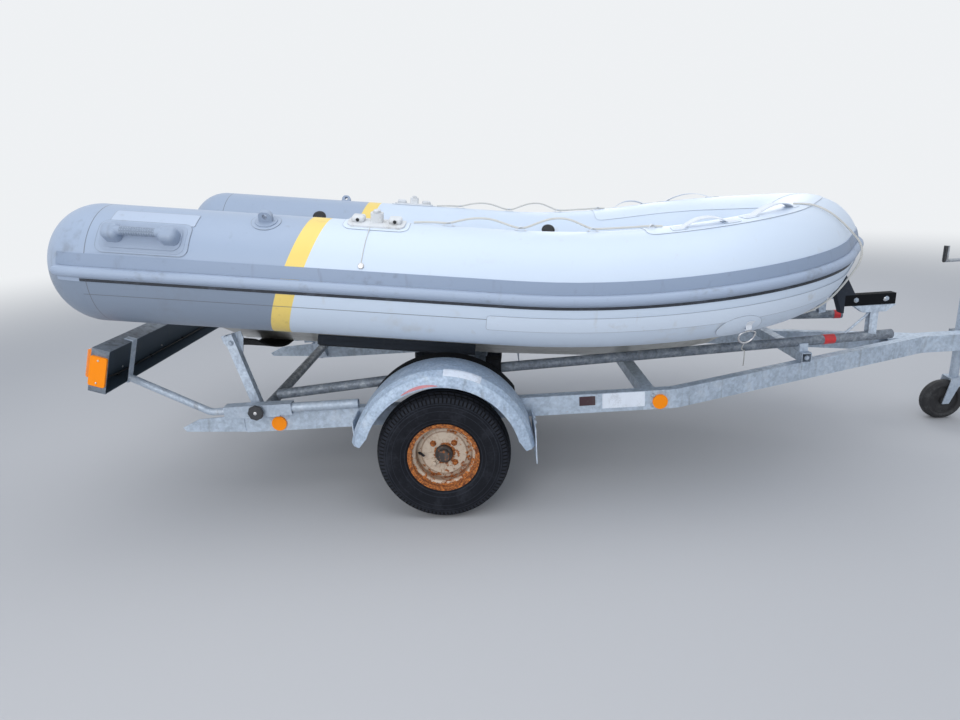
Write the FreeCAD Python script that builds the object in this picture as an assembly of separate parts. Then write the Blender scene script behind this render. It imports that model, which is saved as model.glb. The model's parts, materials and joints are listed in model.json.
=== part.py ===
import FreeCAD, Part
import math
import os

from FreeCAD import Placement, Rotation, Vector

# Small rigid-hulled inflatable boat parked on its single-axle galvanised trailer.
# Millimetres. X points forward to the bow and the coupling, Y to port, Z up.
# The part's origin is on the ground at the middle of the whole outline.
# The trailer is drawn level around the axle and then turned nose up; the boat is
# drawn level in a frame of its own and then laid bow down on the trailer.

os.makedirs("parts", exist_ok=True)

# Gap between pieces that sit on each other, fit of a turning or sliding piece, and
# the room that a moving piece keeps from everything else
SEAT = 0.3
FIT = 0.05
CLEAR = 14.0
# Height over the tube's skin where a fitting starts, inside the sheet it stands on
FOOT = SEAT + 1.0

# Wheels: Y is measured from the middle of the tyre
TYRE_R = 260.0
TYRE_WIDTH = 136.0
SHOULDER_DROP = 16.0
SHOULDER_HALF = 56.0
WIDEST_R = 184.0
WHEEL_OUT = 750.0
RIM_R = 127.0
RIM_HALF = 50.0
RIM_FLANGE = 11.0
RIM_CURL = 6.0
RIM_WALL = 3.5
WELL_R = 112.0
WELL_OUT = 34.0
WELL_IN = 20.0
WELL_RAMP = 9.0
DISC_INSET = 44.0
DISC_T = 5.0
DISC_DISH = 10.0
DISC_FLAT_R = 88.0
HUB_R = 34.0
HUB_OUT = 22.0
HUB_FLANGE_R = 70.0
HUB_FLANGE_T = 10.0
HUB_LEN = 100.0
HUB_CAP_R = 24.0
HUB_CAP_LEN = 16.0
STUB_R = 15.0

# Axle: a square torsion tube and trailing arms
AXLE_Z = TYRE_R
BEAM_SIDE = 60.0
BEAM_WALL = 4.0
BEAM_AHEAD = 140.0
AXLE_PLATE = 6.0
AXLE_PLATE_LEN = 90.0
AXLE_PLATE_IN = 30.0
ARM_GAP = 8.0
ARM_T = 18.0
ARM_PIVOT_R = 38.0
ARM_STUB_BOSS = 28.0

# Trailer frame
NOSE_UP = 1.2
RAIL_W = 40.0
RAIL_H = 80.0
RAIL_WALL = 3.0
RAIL_BOTTOM = 335.0
RAIL_TOP = RAIL_BOTTOM + RAIL_H
RAIL_OUT = 550.0
RAIL_Y = RAIL_OUT - RAIL_W / 2
RAIL_REAR = -810.0
BEND_X = 905.0
BEND_R = 120.0
BEND_ANGLE = 21.4
TAIL_LEN = 260.0
TAIL_T = 4.0
NOSE_W = 70.0
NOSE_REAR = 2080.0
NOSE_FRONT = 2620.0
TAIL_HIGH = 12.0
TAIL_LOW = 44.0
TAIL_UNDER = 18.0
REAR_CROSS_X = -715.0
REAR_CROSS_R = 21.0
TUBE_WALL = 3.0
MID_BEAM_X = 20.0
MID_BEAM_W = 50.0
MID_BEAM_H = 60.0
FRONT_BEAM_X = 840.0
FRONT_BEAM_SIDE = 50.0
SADDLE_BAR_X = 1560.0
SADDLE_BAR_SIDE = 42.0
SADDLE_BAR_HALF = 315.0

# Spine tubes and what they carry
SPINE_R = 21.0
SPINE_REAR_Y = 455.0
SPINE_REAR_Z = 459.0
SPINE_BEND_X = 100.0
SPINE_BEND_Y = 430.0
SPINE_BEND_Z = 508.0
SPINE_BEND_R = 900.0
SPINE_FRONT_X = 1980.0
SPINE_FRONT_Y = 200.0
SPINE_FRONT_Z = 489.0
SADDLE_LEN = 36.0
SADDLE_HALF = 32.0
CHOCK_X = 210.0
CHOCK_LEN = 62.0
CHOCK_HALF = 30.0
CHOCK_RISE = 44.0
CHOCK_DROP = 36.0

# Light board, the arms that carry it and their guides
ARM_R = 14.5
ARM_WALL = 2.5
GUIDE_R = 19.0
SLEEVE_SIDE = 46.0
SLEEVE_Y = 575.0
SLEEVE_REAR = -870.0
SLEEVE_FRONT = -600.0
SLEEVE_PLATE = 4.0
SLEEVE_PLATE_LEN = 50.0
GUIDE_FRONT = -335.0
ARM_FRONT = -420.0
ARM_BEND_X = -930.0
ARM_BEND_R = 60.0
ARM_RISE = 29.3
KNOB_R = 16.0
KNOB_LOBE_R = 9.0
KNOB_STEM_R = 6.0
KNOB_OUT = 26.0
KNOB_GRIP = 14.0
BOARD_HALF = 740.0
BOARD_H = 170.0
BOARD_DEPTH = 64.0
BOARD_WALL = 2.5
BOARD_TILT = 19.0
BOARD_X = -1262.0
BOARD_Z = 696.0
STRAP_W = 30.0
STRAP_T = 4.0
LAMP_Y = 590.0
LAMP_LEN = 210.0
LAMP_H = 112.0
LAMP_DEPTH = 44.0
LAMP_ROUND = 12.0
REFLECTOR_R = 30.0
REFLECTOR_T = 9.0
REFLECTOR_REAR = -672.0
REFLECTOR_FRONT = 868.0
REFLECTOR_RISE = 33.0
END_REFLECTOR_W = 60.0
END_REFLECTOR_H = 116.0
END_REFLECTOR_ROUND = 7.0

# Fenders, their stays and the inner guards
FENDER_IN = 553.0
FENDER_OUT = 778.0
FENDER_R = 352.0
FENDER_T = 2.5
FENDER_FLANGE = 60.0
FENDER_FLANGE_DROP = 6.0
FENDER_ROUND = 44.0
FENDER_TRIM = 22.0
LIP_R = 298.0
FENDER_FRONT = 5.0
FENDER_REAR = 14.0
STAY_T = 4.0
STAY_H = 112.0
STAY_SHORT = 24.0
STAY_WELD = 30.0
GUARD_IN = 470.0
GUARD_T = 3.0
GUARD_SPAN = 116.0

# Rear posts and belt
POST_W = 34.0
POST_L = 36.0
POST_FOOT_X = -748.0
POST_HEAD_X = -838.0
POST_HEAD_Z = 735.0
HEAD_PLATE_W = 86.0
HEAD_PLATE_H = 58.0
HEAD_PLATE_T = 5.0
BELT_X = 412.0
BELT_W = 150.0
BELT_T = 8.0
BELT_END_Z = -288.0
BELT_FLAT = 40.0
BELT_SAG = 26.0

# Bunks
BUNK_Y = 205.0
BUNK_W = 65.0
BUNK_T = 42.0
BUNK_REAR = 680.0
BUNK_LEN = 690.0
BUNK_POST_Y = 240.0
BUNK_POST_W = 44.0
BUNK_POST_TOP = 735.0

# Bow rest
REST_X = 1880.0
REST_HALF = 226.0
REST_Z = 600.0
REST_ARM_Y = 200.0
REST_ARM_W = 40.0
REST_ARM_H = 48.0
REST_BACK = 128.0
REST_AHEAD = 90.0
REST_BAR_W = 50.0
REST_BAR_H = 30.0
REST_POST = 34.0
REST_WALL = 4.0
REST_BRACE_R = 5.0
REST_BRACE = 120.0
PAD_BACK = 10.0
PAD_FACE = 44.0
PAD_HEIGHT = 170.0
PAD_LEAN = 66.0
PAD_DROP = 30.0

# Coupling
BALL_R = 25.2
BALL_X = 2862.0
BALL_DROP = 22.0
DOME_R = 36.0
COUPLING_REAR = 2500.0
COUPLING_HALF = 30.0
COUPLING_LOW = 16.0
COUPLING_HIGH = 44.0

# Jockey wheel
JACK_X = 2500.0
JACK_Y = 78.0
JACK_OUTER_R = 24.0
JACK_INNER_R = 20.0
JACK_TOP = 700.0
JACK_CAP = 8.0
JACK_LEG = 370.0
JACK_RAISE = 150.0
JACK_WHEEL_R = 100.0
JACK_WHEEL_W = 55.0
JACK_TRAIL = 45.0
JACK_STEM_R = 11.0
JACK_STEM = 38.0
JACK_PIN_R = 8.0
JACK_HUB_R = 22.0
FORK_SIDE_GAP = 4.0
FORK_T = 5.0
FORK_CROWN = 18.0
FORK_HALF = 30.0
CLAMP_H = 60.0
CRANK_REACH = 120.0
CRANK_R = 8.0
CRANK_RISE = 26.0
GRIP_R = 12.0
GRIP_LEN = 70.0

# Boat lie: where the tube's rear end, at the height of its middle, stands on the trailer
BOAT_X = -1198.0
BOAT_Z = 1030.5
BOAT_PITCH = 6.1

# Buoyancy tube: CONE_ sizes are the stern ends, the rest follows the middle line forward
TUBE_R = 215.5
TUBE_Y = 575.0
CONE_LEN = 190.0
CONE_TIP_R = 55.0
CONE_END_R = 38.0
STRAIGHT = 1475.0
SHEER_R = 3600.0
SHEER_ANGLE = 11.3
SHOULDER_R = 550.0
SHOULDER_ANGLE = 55.0
PROW_R = 265.0
BEAD_H = 38.0
BEAD_OUT = 20.0
STRIP_T = 2.5
STRIP_LOW = -8.5
STRIP_HIGH = 5.3
BAND_LOW = 5.6
BAND_HIGH = 17.0
STRAKE_TAIL = 28.0

# Inside the boat
TRANSOM_X = 270.0
TRANSOM_T = 45.0
TRANSOM_TOP = 130.0
TRANSOM_SHOULDER = 40.0
MOTOR_NOTCH_Z = 0.0
MOTOR_NOTCH_W = 340.0
MOTOR_PAD_HALF = 135.0
MOTOR_PAD_H = 200.0
MOTOR_PAD_T = 6.0
DECK_T = 12.0
LOCKER_X = 2040.0
LOCKER_FRONT = 2640.0
LOCKER_Z = 110.0
LOCKER_WALL = 14.0
LOCKER_FOOT = 260.0
LID_X0 = 2090.0
LID_X1 = 2400.0
LID_HALF = 150.0
LID_T = 16.0
LID_LIP = 14.0

# Rigid hull: keel, chine and sheer edge at each station
HULL = [
    # x, keel z, chine y, chine z, edge y, edge z
    (TRANSOM_X, -420, 415, -250, 460, -120),
    (1475, -420, 415, -250, 460, -120),
    (1950, -402, 395, -230, 460, -100),
    (2250, -365, 340, -180, 460, -45),
    (2480, -305, 250, -110, 390, 25),
    (2640, -205, 130, -30, 260, 60),
    (2770, -15, 20, 30, 90, 90),
]

# Fittings on the tubes: x is the middle of a pad, angles are up from the outer equator
HANDLE_X = 212.0
HANDLE_ANGLE = 36.0
HANDLE_LEN = 254.0
HANDLE_R = 15.0
HANDLE_LIFT = 36.0
HANDLE_FOOT_LEN = 62.0
HANDLE_FOOT_W = 58.0
HANDLE_ROUND = 20.0
HANDLE_PAD_LEN = 290.0
HANDLE_PAD_ARC = 30.0
HANDLE_PAD_T = 3.0
RING_PAD_X = 605.0
RING_PAD_ANGLE = 66.0
RING_PAD_R = 38.0
RING_PAD_T = 5.0
RING_LUG_LEN = 46.0
RING_LUG_W = 22.0
RING_LUG_H = 40.0
RING_HOLE_R = 9.0
RING_HOLE_DROP = 16.0
ROWLOCK_X = 988.0
ROWLOCK_ANGLE = 79.0
ROWLOCK_LEN = 204.0
ROWLOCK_W = 98.0
ROWLOCK_T = 8.0
ROWLOCK_ROUND = 24.0
ROWLOCK_BLOCK_LEN = 44.0
ROWLOCK_BLOCK_W = 34.0
ROWLOCK_BLOCK_H = 30.0
ROWLOCK_HOLE_R = 6.2
ROWLOCK_HOLE = 30.0
STRAP_HANDLES = [
    # distance along the tube to both ends, angle
    (2089, 2314, 78),
    (2355, 2640, 82),
]
STRAP_HANDLE_W = 26.0
STRAP_HANDLE_T = 3.0
STRAP_HANDLE_FOOT = 40.0
STRAP_HANDLE_RAMP = 40.0
STRAP_HANDLE_RISE = 26.0
STRAP_FOOT_ARC = 12.0
TOW_PATCH_AT = 2262.0
TOW_PATCH_ANGLE = -46.0
TOW_PATCH_R = 66.0
TOW_RING_AHEAD = 26.0
TOW_PATCH_T = 3.0
TOW_LUG = 14.0
TOW_RING_R = 34.0
TOW_ROD_R = 4.0
ROPE_R = 4.0
LIFELINE = [
    # distance along the tube, angle, height of the rope's middle over the skin
    (1115, 91, 4.5),
    (1160, 92, 8),
    (1200, 91, 10),
    (1243, 90, 9),
    (1290, 91, 24),
    (1345, 92, 35),
    (1400, 92, 34),
    (1450, 91, 20),
    (1490, 90, 9),
    (1528, 90, 10),
    (1575, 91, 30),
    (1630, 92, 48),
    (1690, 92, 48),
    (1742, 91, 28),
    (1785, 90, 9),
    (1840, 91, 9),
    (1900, 90, 10),
    (1960, 91, 9),
    (2015, 90, 10),
    (2060, 89, 4.5),
]
PAINTER = [
    (2665, 84, 4.5),
    (2690, 74, 8),
    (2697, 60, 10),
    (2703, 46, 10),
    (2725, 32, 10),
    (2752, 19, 18),
    (2768, 7, 34),
    (2768, -6, 34),
    (2748, -19, 18),
    (2718, -32, 10),
    (2685, -46, 10),
    (2655, -60, 10),
    (2640, -72, 8),
    (2635, -82, 4.5),
]
NOSE_CAP_HALF = 34.0
NOSE_CAP_OUT = 30.0
NOSE_CAP_ARC = 6.6

# Whole outline: the stern tip and the front of the coupling, both from the axle
REAR_REACH = (-BOAT_X + CONE_LEN * math.cos(math.radians(BOAT_PITCH))
              + CONE_END_R * math.sin(math.radians(BOAT_PITCH)))
BALL_Z = RAIL_TOP + 20.0
FRONT_REACH = ((BALL_X + DOME_R) * math.cos(math.radians(NOSE_UP))
               - (BALL_Z - BALL_DROP - AXLE_Z) * math.sin(math.radians(NOSE_UP)))
AXLE_X = (REAR_REACH - FRONT_REACH) / 2


def box(x0, x1, y0, y1, z0, z1):
    return Part.makeBox(x1 - x0, y1 - y0, z1 - z0, Vector(x0, y0, z0))


def rod(start, end, radius):
    way = end - start
    return Part.makeCylinder(radius, way.Length, start, way)


def mirrored(shape):
    return shape.mirror(Vector(0, 0, 0), Vector(0, 1, 0))


def pair(shape):
    return [shape, mirrored(shape)]


def largest(shape):
    return max(shape.Solids, key=lambda solid: solid.Volume)


def plate(points, thickness):
    """Flat prism: points are corner vectors in one plane, thickness is its vector."""
    return Part.Face(Part.makePolygon(points + [points[0]])).extrude(thickness)


def turned(points):
    """Ring round the Y axis: points are its section's corners as (y, radius)."""
    corners = [Vector(0, y, radius) for y, radius in points]
    face = Part.Face(Part.makePolygon(corners + [corners[0]]))
    return face.revolve(Vector(0, 0, 0), Vector(0, 1, 0), 360)


def ring_face(outer, inner):
    return Part.Face(outer).cut(Part.Face(inner)).Faces[0]


def circle_wire(radius):
    return Part.Wire(Part.makeCircle(radius, Vector(0, 0, 0), Vector(1, 0, 0)))


def section_box(width, height):
    half_w = width / 2
    half_h = height / 2
    return Part.makePolygon([Vector(0, -half_w, -half_h), Vector(0, half_w, -half_h),
                             Vector(0, half_w, half_h), Vector(0, -half_w, half_h),
                             Vector(0, -half_w, -half_h)])


def tube_face(radius, wall):
    return ring_face(circle_wire(radius), circle_wire(radius - wall))


def box_tube_face(width, height, wall):
    return ring_face(section_box(width, height), section_box(width - 2 * wall, height - 2 * wall))


# Turns of a swept section: the way to the centre and the axis, both in the section's frame
TURNS = {
    "left": (Vector(0, 1, 0), Vector(0, 0, 1)),
    "right": (Vector(0, -1, 0), Vector(0, 0, -1)),
    "up": (Vector(0, 0, 1), Vector(0, -1, 0)),
    "down": (Vector(0, 0, -1), Vector(0, 1, 0)),
}


def step(frame, kind, size, angle):
    """Frame at the far end of one move, with the turn's centre and axis."""
    if kind == "run":
        ahead = frame.Rotation.multVec(Vector(size, 0, 0))
        return Placement(ahead, Rotation()).multiply(frame), None, None
    sideways, turn = TURNS[kind]
    centre = frame.multVec(sideways * size)
    axis = frame.Rotation.multVec(turn)
    return Placement(Vector(0, 0, 0), Rotation(axis, angle), centre).multiply(frame), centre, axis


def along(profile, start, moves):
    """Carries a section that lies in the YZ plane along X.

    Each move is (kind, size, angle): a run has a length, and a turn has a radius and
    an angle in degrees.
    """
    frame = start
    pieces = []
    for kind, size, angle in moves:
        face = profile.copy()
        face.Placement = frame.multiply(profile.Placement)
        after, centre, axis = step(frame, kind, size, angle)
        if centre is None:
            pieces.append(face.extrude(after.Base - frame.Base))
        else:
            pieces.append(face.revolve(centre, axis, angle))
        frame = after
    if len(pieces) == 1:
        return pieces[0]
    return pieces[0].multiFuse(pieces[1:])


def straight(profile, start, length):
    return along(profile, start, [("run", length, 0)])


def across(profile, x, z, half):
    """Member across the trailer, the same to both sides."""
    return straight(profile, heading(Vector(x, -half, z), Vector(0, 1, 0)), 2 * half)


def heading(point, direction, up=Vector(0, 0, 1)):
    """Frame whose X runs along a direction and whose Z stays near up."""
    return Placement(point, Rotation(direction, up.cross(direction), up, "XZY"))


def cord(name, points, radius):
    """Rope through chosen points: straight runs joined by arcs that touch both runs."""
    pieces = []
    start = points[0]
    bends = []
    for before, corner, after in zip(points, points[1:], points[2:]):
        way_in = corner - before
        way_out = after - corner
        reach = 0.45 * min(way_in.Length, way_out.Length)
        way_in.normalize()
        way_out.normalize()
        turn = way_in.getAngle(way_out)
        bend = reach / math.tan(turn / 2)
        bends.append(bend)
        first = corner - way_in * reach
        axis = way_in.cross(way_out).normalize()
        pieces.append(rod(start, first, radius))
        ring = Part.Face(Part.Wire(Part.makeCircle(radius, first, way_in)))
        pieces.append(ring.revolve(first + axis.cross(way_in) * bend, axis, math.degrees(turn)))
        start = corner + way_out * reach
    pieces.append(rod(start, points[-1], radius))
    print(name, "smallest bend radius", round(min(bends), 1), "rope diameter", 2 * radius)
    return pieces[0].multiFuse(pieces[1:])


def on_trailer(shape):
    shape.rotate(Vector(0, 0, AXLE_Z), Vector(0, 1, 0), -NOSE_UP)
    return shape


def on_boat(shape):
    shape.rotate(Vector(0, 0, 0), Vector(0, 1, 0), BOAT_PITCH)
    shape.translate(Vector(BOAT_X, 0, BOAT_Z))
    return shape


def laid(shape, lay):
    return lay(shape.copy())


def save(name, shapes, lay=None):
    kept = []
    for solid in [solid for shape in shapes for solid in shape.Solids]:
        solid = laid(solid, lay) if lay else solid.copy()
        solid.translate(Vector(AXLE_X, 0, 0))
        kept.append(solid)
    result = kept[0] if len(kept) == 1 else Part.makeCompound(kept)
    result.exportStep("parts/" + name + ".step")


def save_sides(name, shape, lay=None):
    """One node for each side of the trailer."""
    for side, copy in zip(("right", "left"), pair(shape)):
        save(name + "_" + side, [copy], lay)


# Buoyancy tube: one middle line runs from the right stern round the bow to the left stern
shoulder = math.radians(SHOULDER_ANGLE)
CHEEK = ((TUBE_Y - SHOULDER_R * (1 - math.cos(shoulder)) - PROW_R * math.cos(shoulder))
         / math.sin(shoulder))
ROUND_BOAT = [
    ("run", STRAIGHT, 0),
    ("up", SHEER_R, SHEER_ANGLE),
    ("left", SHOULDER_R, SHOULDER_ANGLE),
    ("run", CHEEK, 0),
    ("left", PROW_R, 180 - 2 * SHOULDER_ANGLE),
    ("run", CHEEK, 0),
    ("left", SHOULDER_R, SHOULDER_ANGLE),
    ("up", SHEER_R, SHEER_ANGLE),
    ("run", STRAIGHT, 0),
]
LINE_START = Placement(Vector(0, -TUBE_Y, 0), Rotation())


def move_length(kind, size, angle):
    return size if kind == "run" else size * math.radians(angle)


LINE_LENGTH = sum(move_length(*move) for move in ROUND_BOAT)


def stretch(first, last):
    """Frame and moves of the middle line between two distances from the right stern."""
    frame = LINE_START
    begin = None
    moves = []
    for kind, size, angle in ROUND_BOAT:
        length = move_length(kind, size, angle)
        low = max(first, 0)
        high = min(last, length)
        if low < high:
            if begin is None:
                lead = low if kind == "run" else size
                begin = step(frame, kind, lead, angle * low / length)[0]
            kept = high - low
            moves.append((kind, kept if kind == "run" else size, angle * kept / length))
        frame = step(frame, kind, size, angle)[0]
        first -= length
        last -= length
    return begin, moves


def round_boat(profile):
    """Section carried round the whole boat."""
    return along(profile, LINE_START, ROUND_BOAT)


def part_way(profile, first, last):
    """Section carried between two distances along the tube."""
    return along(profile, *stretch(first, last))


def outward(angle):
    """Direction out of the right-hand tube, at an angle up from its outer equator."""
    return Vector(0, -math.cos(math.radians(angle)), math.sin(math.radians(angle)))


def on_tube(distance, angle, lift=0.0):
    """Frame on the tube's skin: X runs along the tube and Z points out of it."""
    line = stretch(distance, distance + 1)[0]
    skin = heading(outward(angle) * (TUBE_R + lift), Vector(1, 0, 0), outward(angle))
    return line.multiply(skin)


def ring_sector(inner, outer, low, high):
    """Part of a ring on the outboard side, between two angles up from the equator."""
    middle = (low + high) / 2
    edges = [Part.Arc(outward(low) * inner, outward(middle) * inner, outward(high) * inner).toShape(),
             Part.makeLine(outward(high) * inner, outward(high) * outer),
             Part.Arc(outward(high) * outer, outward(middle) * outer, outward(low) * outer).toShape(),
             Part.makeLine(outward(low) * outer, outward(low) * inner)]
    return Part.Face(Part.Wire(edges))


def skin_sheet(thickness, low, high):
    """Section of a sheet glued on the tube between two angles."""
    return ring_sector(TUBE_R + SEAT, TUBE_R + SEAT + thickness, low, high)


def bead_face():
    """Rubbing bead: a strip glued to the tube with a D rib on it."""
    base = TUBE_R + SEAT + STRIP_T / 2
    half = BEAD_H / 2
    low = Vector(0, -base, -half)
    high = Vector(0, -base, half)
    rib = Part.Wire([Part.makeLine(low, high),
                     Part.Arc(high, Vector(0, -TUBE_R - SEAT - BEAD_OUT, 0), low).toShape()])
    return skin_sheet(STRIP_T, STRIP_LOW, STRIP_HIGH).fuse(Part.Face(rib)).removeSplitter().Faces[0]


# Stern cone: its side is one arc, seen in plan, that the strake follows for a short way
cone_top = Vector(0, -TUBE_R, 0)
cone_tip = Vector(-CONE_LEN * 0.96, -CONE_TIP_R, 0)
cone_side = Part.Arc(cone_top, Vector(-CONE_LEN * 0.62, -TUBE_R * 0.83, 0), cone_tip).toShape()


def stern_cone():
    end = Vector(-CONE_LEN, -CONE_END_R, 0)
    axis_end = Vector(-CONE_LEN, 0, 0)
    outline = Part.Wire([Part.makeLine(Vector(0, 0, 0), cone_top), cone_side,
                         Part.makeLine(cone_tip, end), Part.makeLine(end, axis_end),
                         Part.makeLine(axis_end, Vector(0, 0, 0))])
    cone = Part.Face(outline).revolve(Vector(0, 0, 0), Vector(1, 0, 0), 360)
    cone.translate(Vector(0, -TUBE_Y, 0))
    return cone


def strake_with_tails(profile):
    """Section carried round the boat and on round the side of both stern cones."""
    face = profile.copy()
    face.translate(Vector(0, -TUBE_Y, 0))
    tail = face.revolve(cone_side.Curve.Center - Vector(0, TUBE_Y, 0), Vector(0, 0, -1), STRAKE_TAIL)
    return round_boat(profile).fuse(pair(tail)).cut([nose_cap, cone_room, mirrored(cone_room)])


middle = LINE_LENGTH / 2
nose_cap = part_way(ring_sector(TUBE_R + SEAT, TUBE_R + NOSE_CAP_OUT, -NOSE_CAP_ARC, NOSE_CAP_ARC),
                    middle - NOSE_CAP_HALF, middle + NOSE_CAP_HALF)
tube_room = round_boat(Part.Face(circle_wire(TUBE_R + SEAT)))
cone_room = stern_cone()
save("stern_cones", pair(cone_room), on_boat)
save("buoyancy_tube", [round_boat(Part.Face(circle_wire(TUBE_R)))], on_boat)
save("rub_strake", [strake_with_tails(bead_face())], on_boat)
save("strake_band", [strake_with_tails(skin_sheet(STRIP_T, BAND_LOW, BAND_HIGH))], on_boat)
save("nose_cap", [nose_cap], on_boat)


# Rigid hull with the deck on it, seated under the tubes
def hull_section(x, keel_z, chine_y, chine_z, edge_y, edge_z):
    corners = [(0, keel_z), (chine_y, chine_z), (edge_y, edge_z), (-edge_y, edge_z),
               (-chine_y, chine_z), (0, keel_z)]
    return Part.makePolygon([Vector(x, y, z) for y, z in corners])


def flat_section(x, half, low, high):
    corners = [(half, low), (half, high), (-half, high), (-half, low), (half, low)]
    return Part.makePolygon([Vector(x, y, z) for y, z in corners])


def deck_loft(wider, below, above):
    """Slab that follows the hull's sheer edge."""
    sections = [flat_section(x, edge_y + wider, edge_z - below, edge_z + above)
                for x, _, _, _, edge_y, edge_z in HULL]
    return Part.makeLoft(sections, True, True)


keel_z = HULL[0][1]
deck_z = HULL[0][5] + DECK_T
hull = Part.makeLoft([hull_section(*row) for row in HULL], True, True)
save("hull", [largest(hull.cut(tube_room))], on_boat)
save("deck", [largest(deck_loft(0, 0, DECK_T).cut(tube_room))], on_boat)


def transom_board():
    cut = MOTOR_NOTCH_W / 2
    side = [(TUBE_Y, deck_z), (TUBE_Y, TRANSOM_TOP - TRANSOM_SHOULDER),
            (cut + 3 * TRANSOM_SHOULDER, TRANSOM_TOP), (cut + TRANSOM_SHOULDER, TRANSOM_TOP),
            (cut, MOTOR_NOTCH_Z)]
    corners = side + [(-y, z) for y, z in reversed(side)]
    board = plate([Vector(TRANSOM_X, y, z) for y, z in corners], Vector(TRANSOM_T, 0, 0))
    return largest(board.cut(tube_room))


pad_top = MOTOR_NOTCH_Z - 4
inside = TRANSOM_X + TRANSOM_T
save("transom", [transom_board()], on_boat)
save("motor_pads", [
    box(TRANSOM_X - MOTOR_PAD_T, TRANSOM_X, -MOTOR_PAD_HALF, MOTOR_PAD_HALF,
        pad_top - MOTOR_PAD_H, pad_top),
    box(inside, inside + MOTOR_PAD_T, -MOTOR_PAD_HALF, MOTOR_PAD_HALF, deck_z + 8, pad_top)], on_boat)

# Bow locker: a step moulding between the tubes, with a lid hinged at its front edge
lid_z = LOCKER_Z + SEAT
hinge_z = lid_z + LID_T / 2
locker = box(LOCKER_X, LOCKER_X + LOCKER_WALL, -TUBE_Y, TUBE_Y, LOCKER_Z - LOCKER_FOOT, LOCKER_Z)
locker = locker.fuse(box(LOCKER_X, LOCKER_FRONT, -TUBE_Y, TUBE_Y, LOCKER_Z - LOCKER_WALL, LOCKER_Z))
locker = locker.cut(tube_room).cut(deck_loft(60, 200, DECK_T + SEAT))
locker = locker.cut(box(LID_X0 + LID_LIP, LID_X1 - LID_LIP, -LID_HALF + LID_LIP, LID_HALF - LID_LIP,
                        LOCKER_Z - 2 * LOCKER_WALL, LOCKER_Z + 1))
save("bow_locker", [largest(locker)], on_boat)
lid = box(LID_X0, LID_X1, -LID_HALF, LID_HALF, lid_z, lid_z + LID_T)
lid = lid.fuse(rod(Vector(LID_X1, -LID_HALF, hinge_z), Vector(LID_X1, LID_HALF, hinge_z), LID_T / 2))
save("locker_lid", [lid.removeSplitter()], on_boat)


# Pads and fittings on the straight part of the tubes
def tube_patch(x, angle, length, arc, thickness):
    return part_way(skin_sheet(thickness, angle - arc / 2, angle + arc / 2), x - length / 2, x + length / 2)


def rounded_patch(x, angle, length, width, corner, thickness):
    """Sheet on the tube with rounded corners."""
    arc = math.degrees(width / TUBE_R) + 6
    cutter = Part.makeBox(length, width, 90, Vector(-length / 2, -width / 2, -60))
    cutter = cutter.makeFillet(corner, [edge for edge in cutter.Edges if edge.BoundBox.ZLength > 80])
    cutter.Placement = on_tube(x, angle)
    return tube_patch(x, angle, length + 10, arc, thickness).common(cutter)


def grab_handle():
    """Moulded handle: a round bar between two rounded feet."""
    base = HANDLE_PAD_T + 2 * SEAT
    foot = Part.makeBox(HANDLE_FOOT_LEN, HANDLE_FOOT_W, HANDLE_LIFT + HANDLE_R - base,
                        Vector(-HANDLE_LEN / 2, -HANDLE_FOOT_W / 2, base))
    foot = foot.makeFillet(HANDLE_ROUND, [edge for edge in foot.Edges if edge.BoundBox.ZMax > base + 1])
    inner = HANDLE_LEN / 2 - HANDLE_FOOT_LEN / 2
    bar = rod(Vector(-inner, 0, HANDLE_LIFT), Vector(inner, 0, HANDLE_LIFT), HANDLE_R)
    handle = bar.fuse([foot, foot.mirror(Vector(0, 0, 0), Vector(1, 0, 0))])
    handle.Placement = on_tube(HANDLE_X, HANDLE_ANGLE)
    return handle


def ring_pad():
    size = 2 * RING_PAD_R
    base = rounded_patch(RING_PAD_X, RING_PAD_ANGLE, size, size, RING_PAD_R * 0.95, RING_PAD_T)
    lug = Part.makeBox(RING_LUG_LEN, RING_LUG_W, RING_LUG_H,
                       Vector(-RING_LUG_LEN / 2, -RING_LUG_W / 2, FOOT))
    top = [edge for edge in lug.Edges
           if edge.BoundBox.ZMin > RING_LUG_H - 1 and edge.BoundBox.YLength > 1]
    lug = lug.makeFillet(min(RING_LUG_H, RING_LUG_LEN) * 0.48, top)
    hole_z = RING_LUG_H - RING_HOLE_DROP
    lug = lug.cut(rod(Vector(0, RING_LUG_W, hole_z), Vector(0, -RING_LUG_W, hole_z), RING_HOLE_R))
    lug.Placement = on_tube(RING_PAD_X, RING_PAD_ANGLE)
    return base.fuse(lug)


def rowlock_pad():
    base = rounded_patch(ROWLOCK_X, ROWLOCK_ANGLE, ROWLOCK_LEN, ROWLOCK_W, ROWLOCK_ROUND, ROWLOCK_T)
    height = ROWLOCK_BLOCK_H + ROWLOCK_T
    block = Part.makeBox(ROWLOCK_BLOCK_LEN, ROWLOCK_BLOCK_W, height,
                         Vector(-ROWLOCK_BLOCK_LEN / 2, -ROWLOCK_BLOCK_W / 2, FOOT))
    upright = [edge for edge in block.Edges if edge.BoundBox.ZLength > ROWLOCK_BLOCK_H]
    block = block.makeFillet(ROWLOCK_BLOCK_W / 4, upright)
    block = block.cut(rod(Vector(0, 0, height - ROWLOCK_HOLE), Vector(0, 0, 2 * height), ROWLOCK_HOLE_R))
    block.Placement = on_tube(ROWLOCK_X, ROWLOCK_ANGLE)
    return base.fuse(block)


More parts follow.
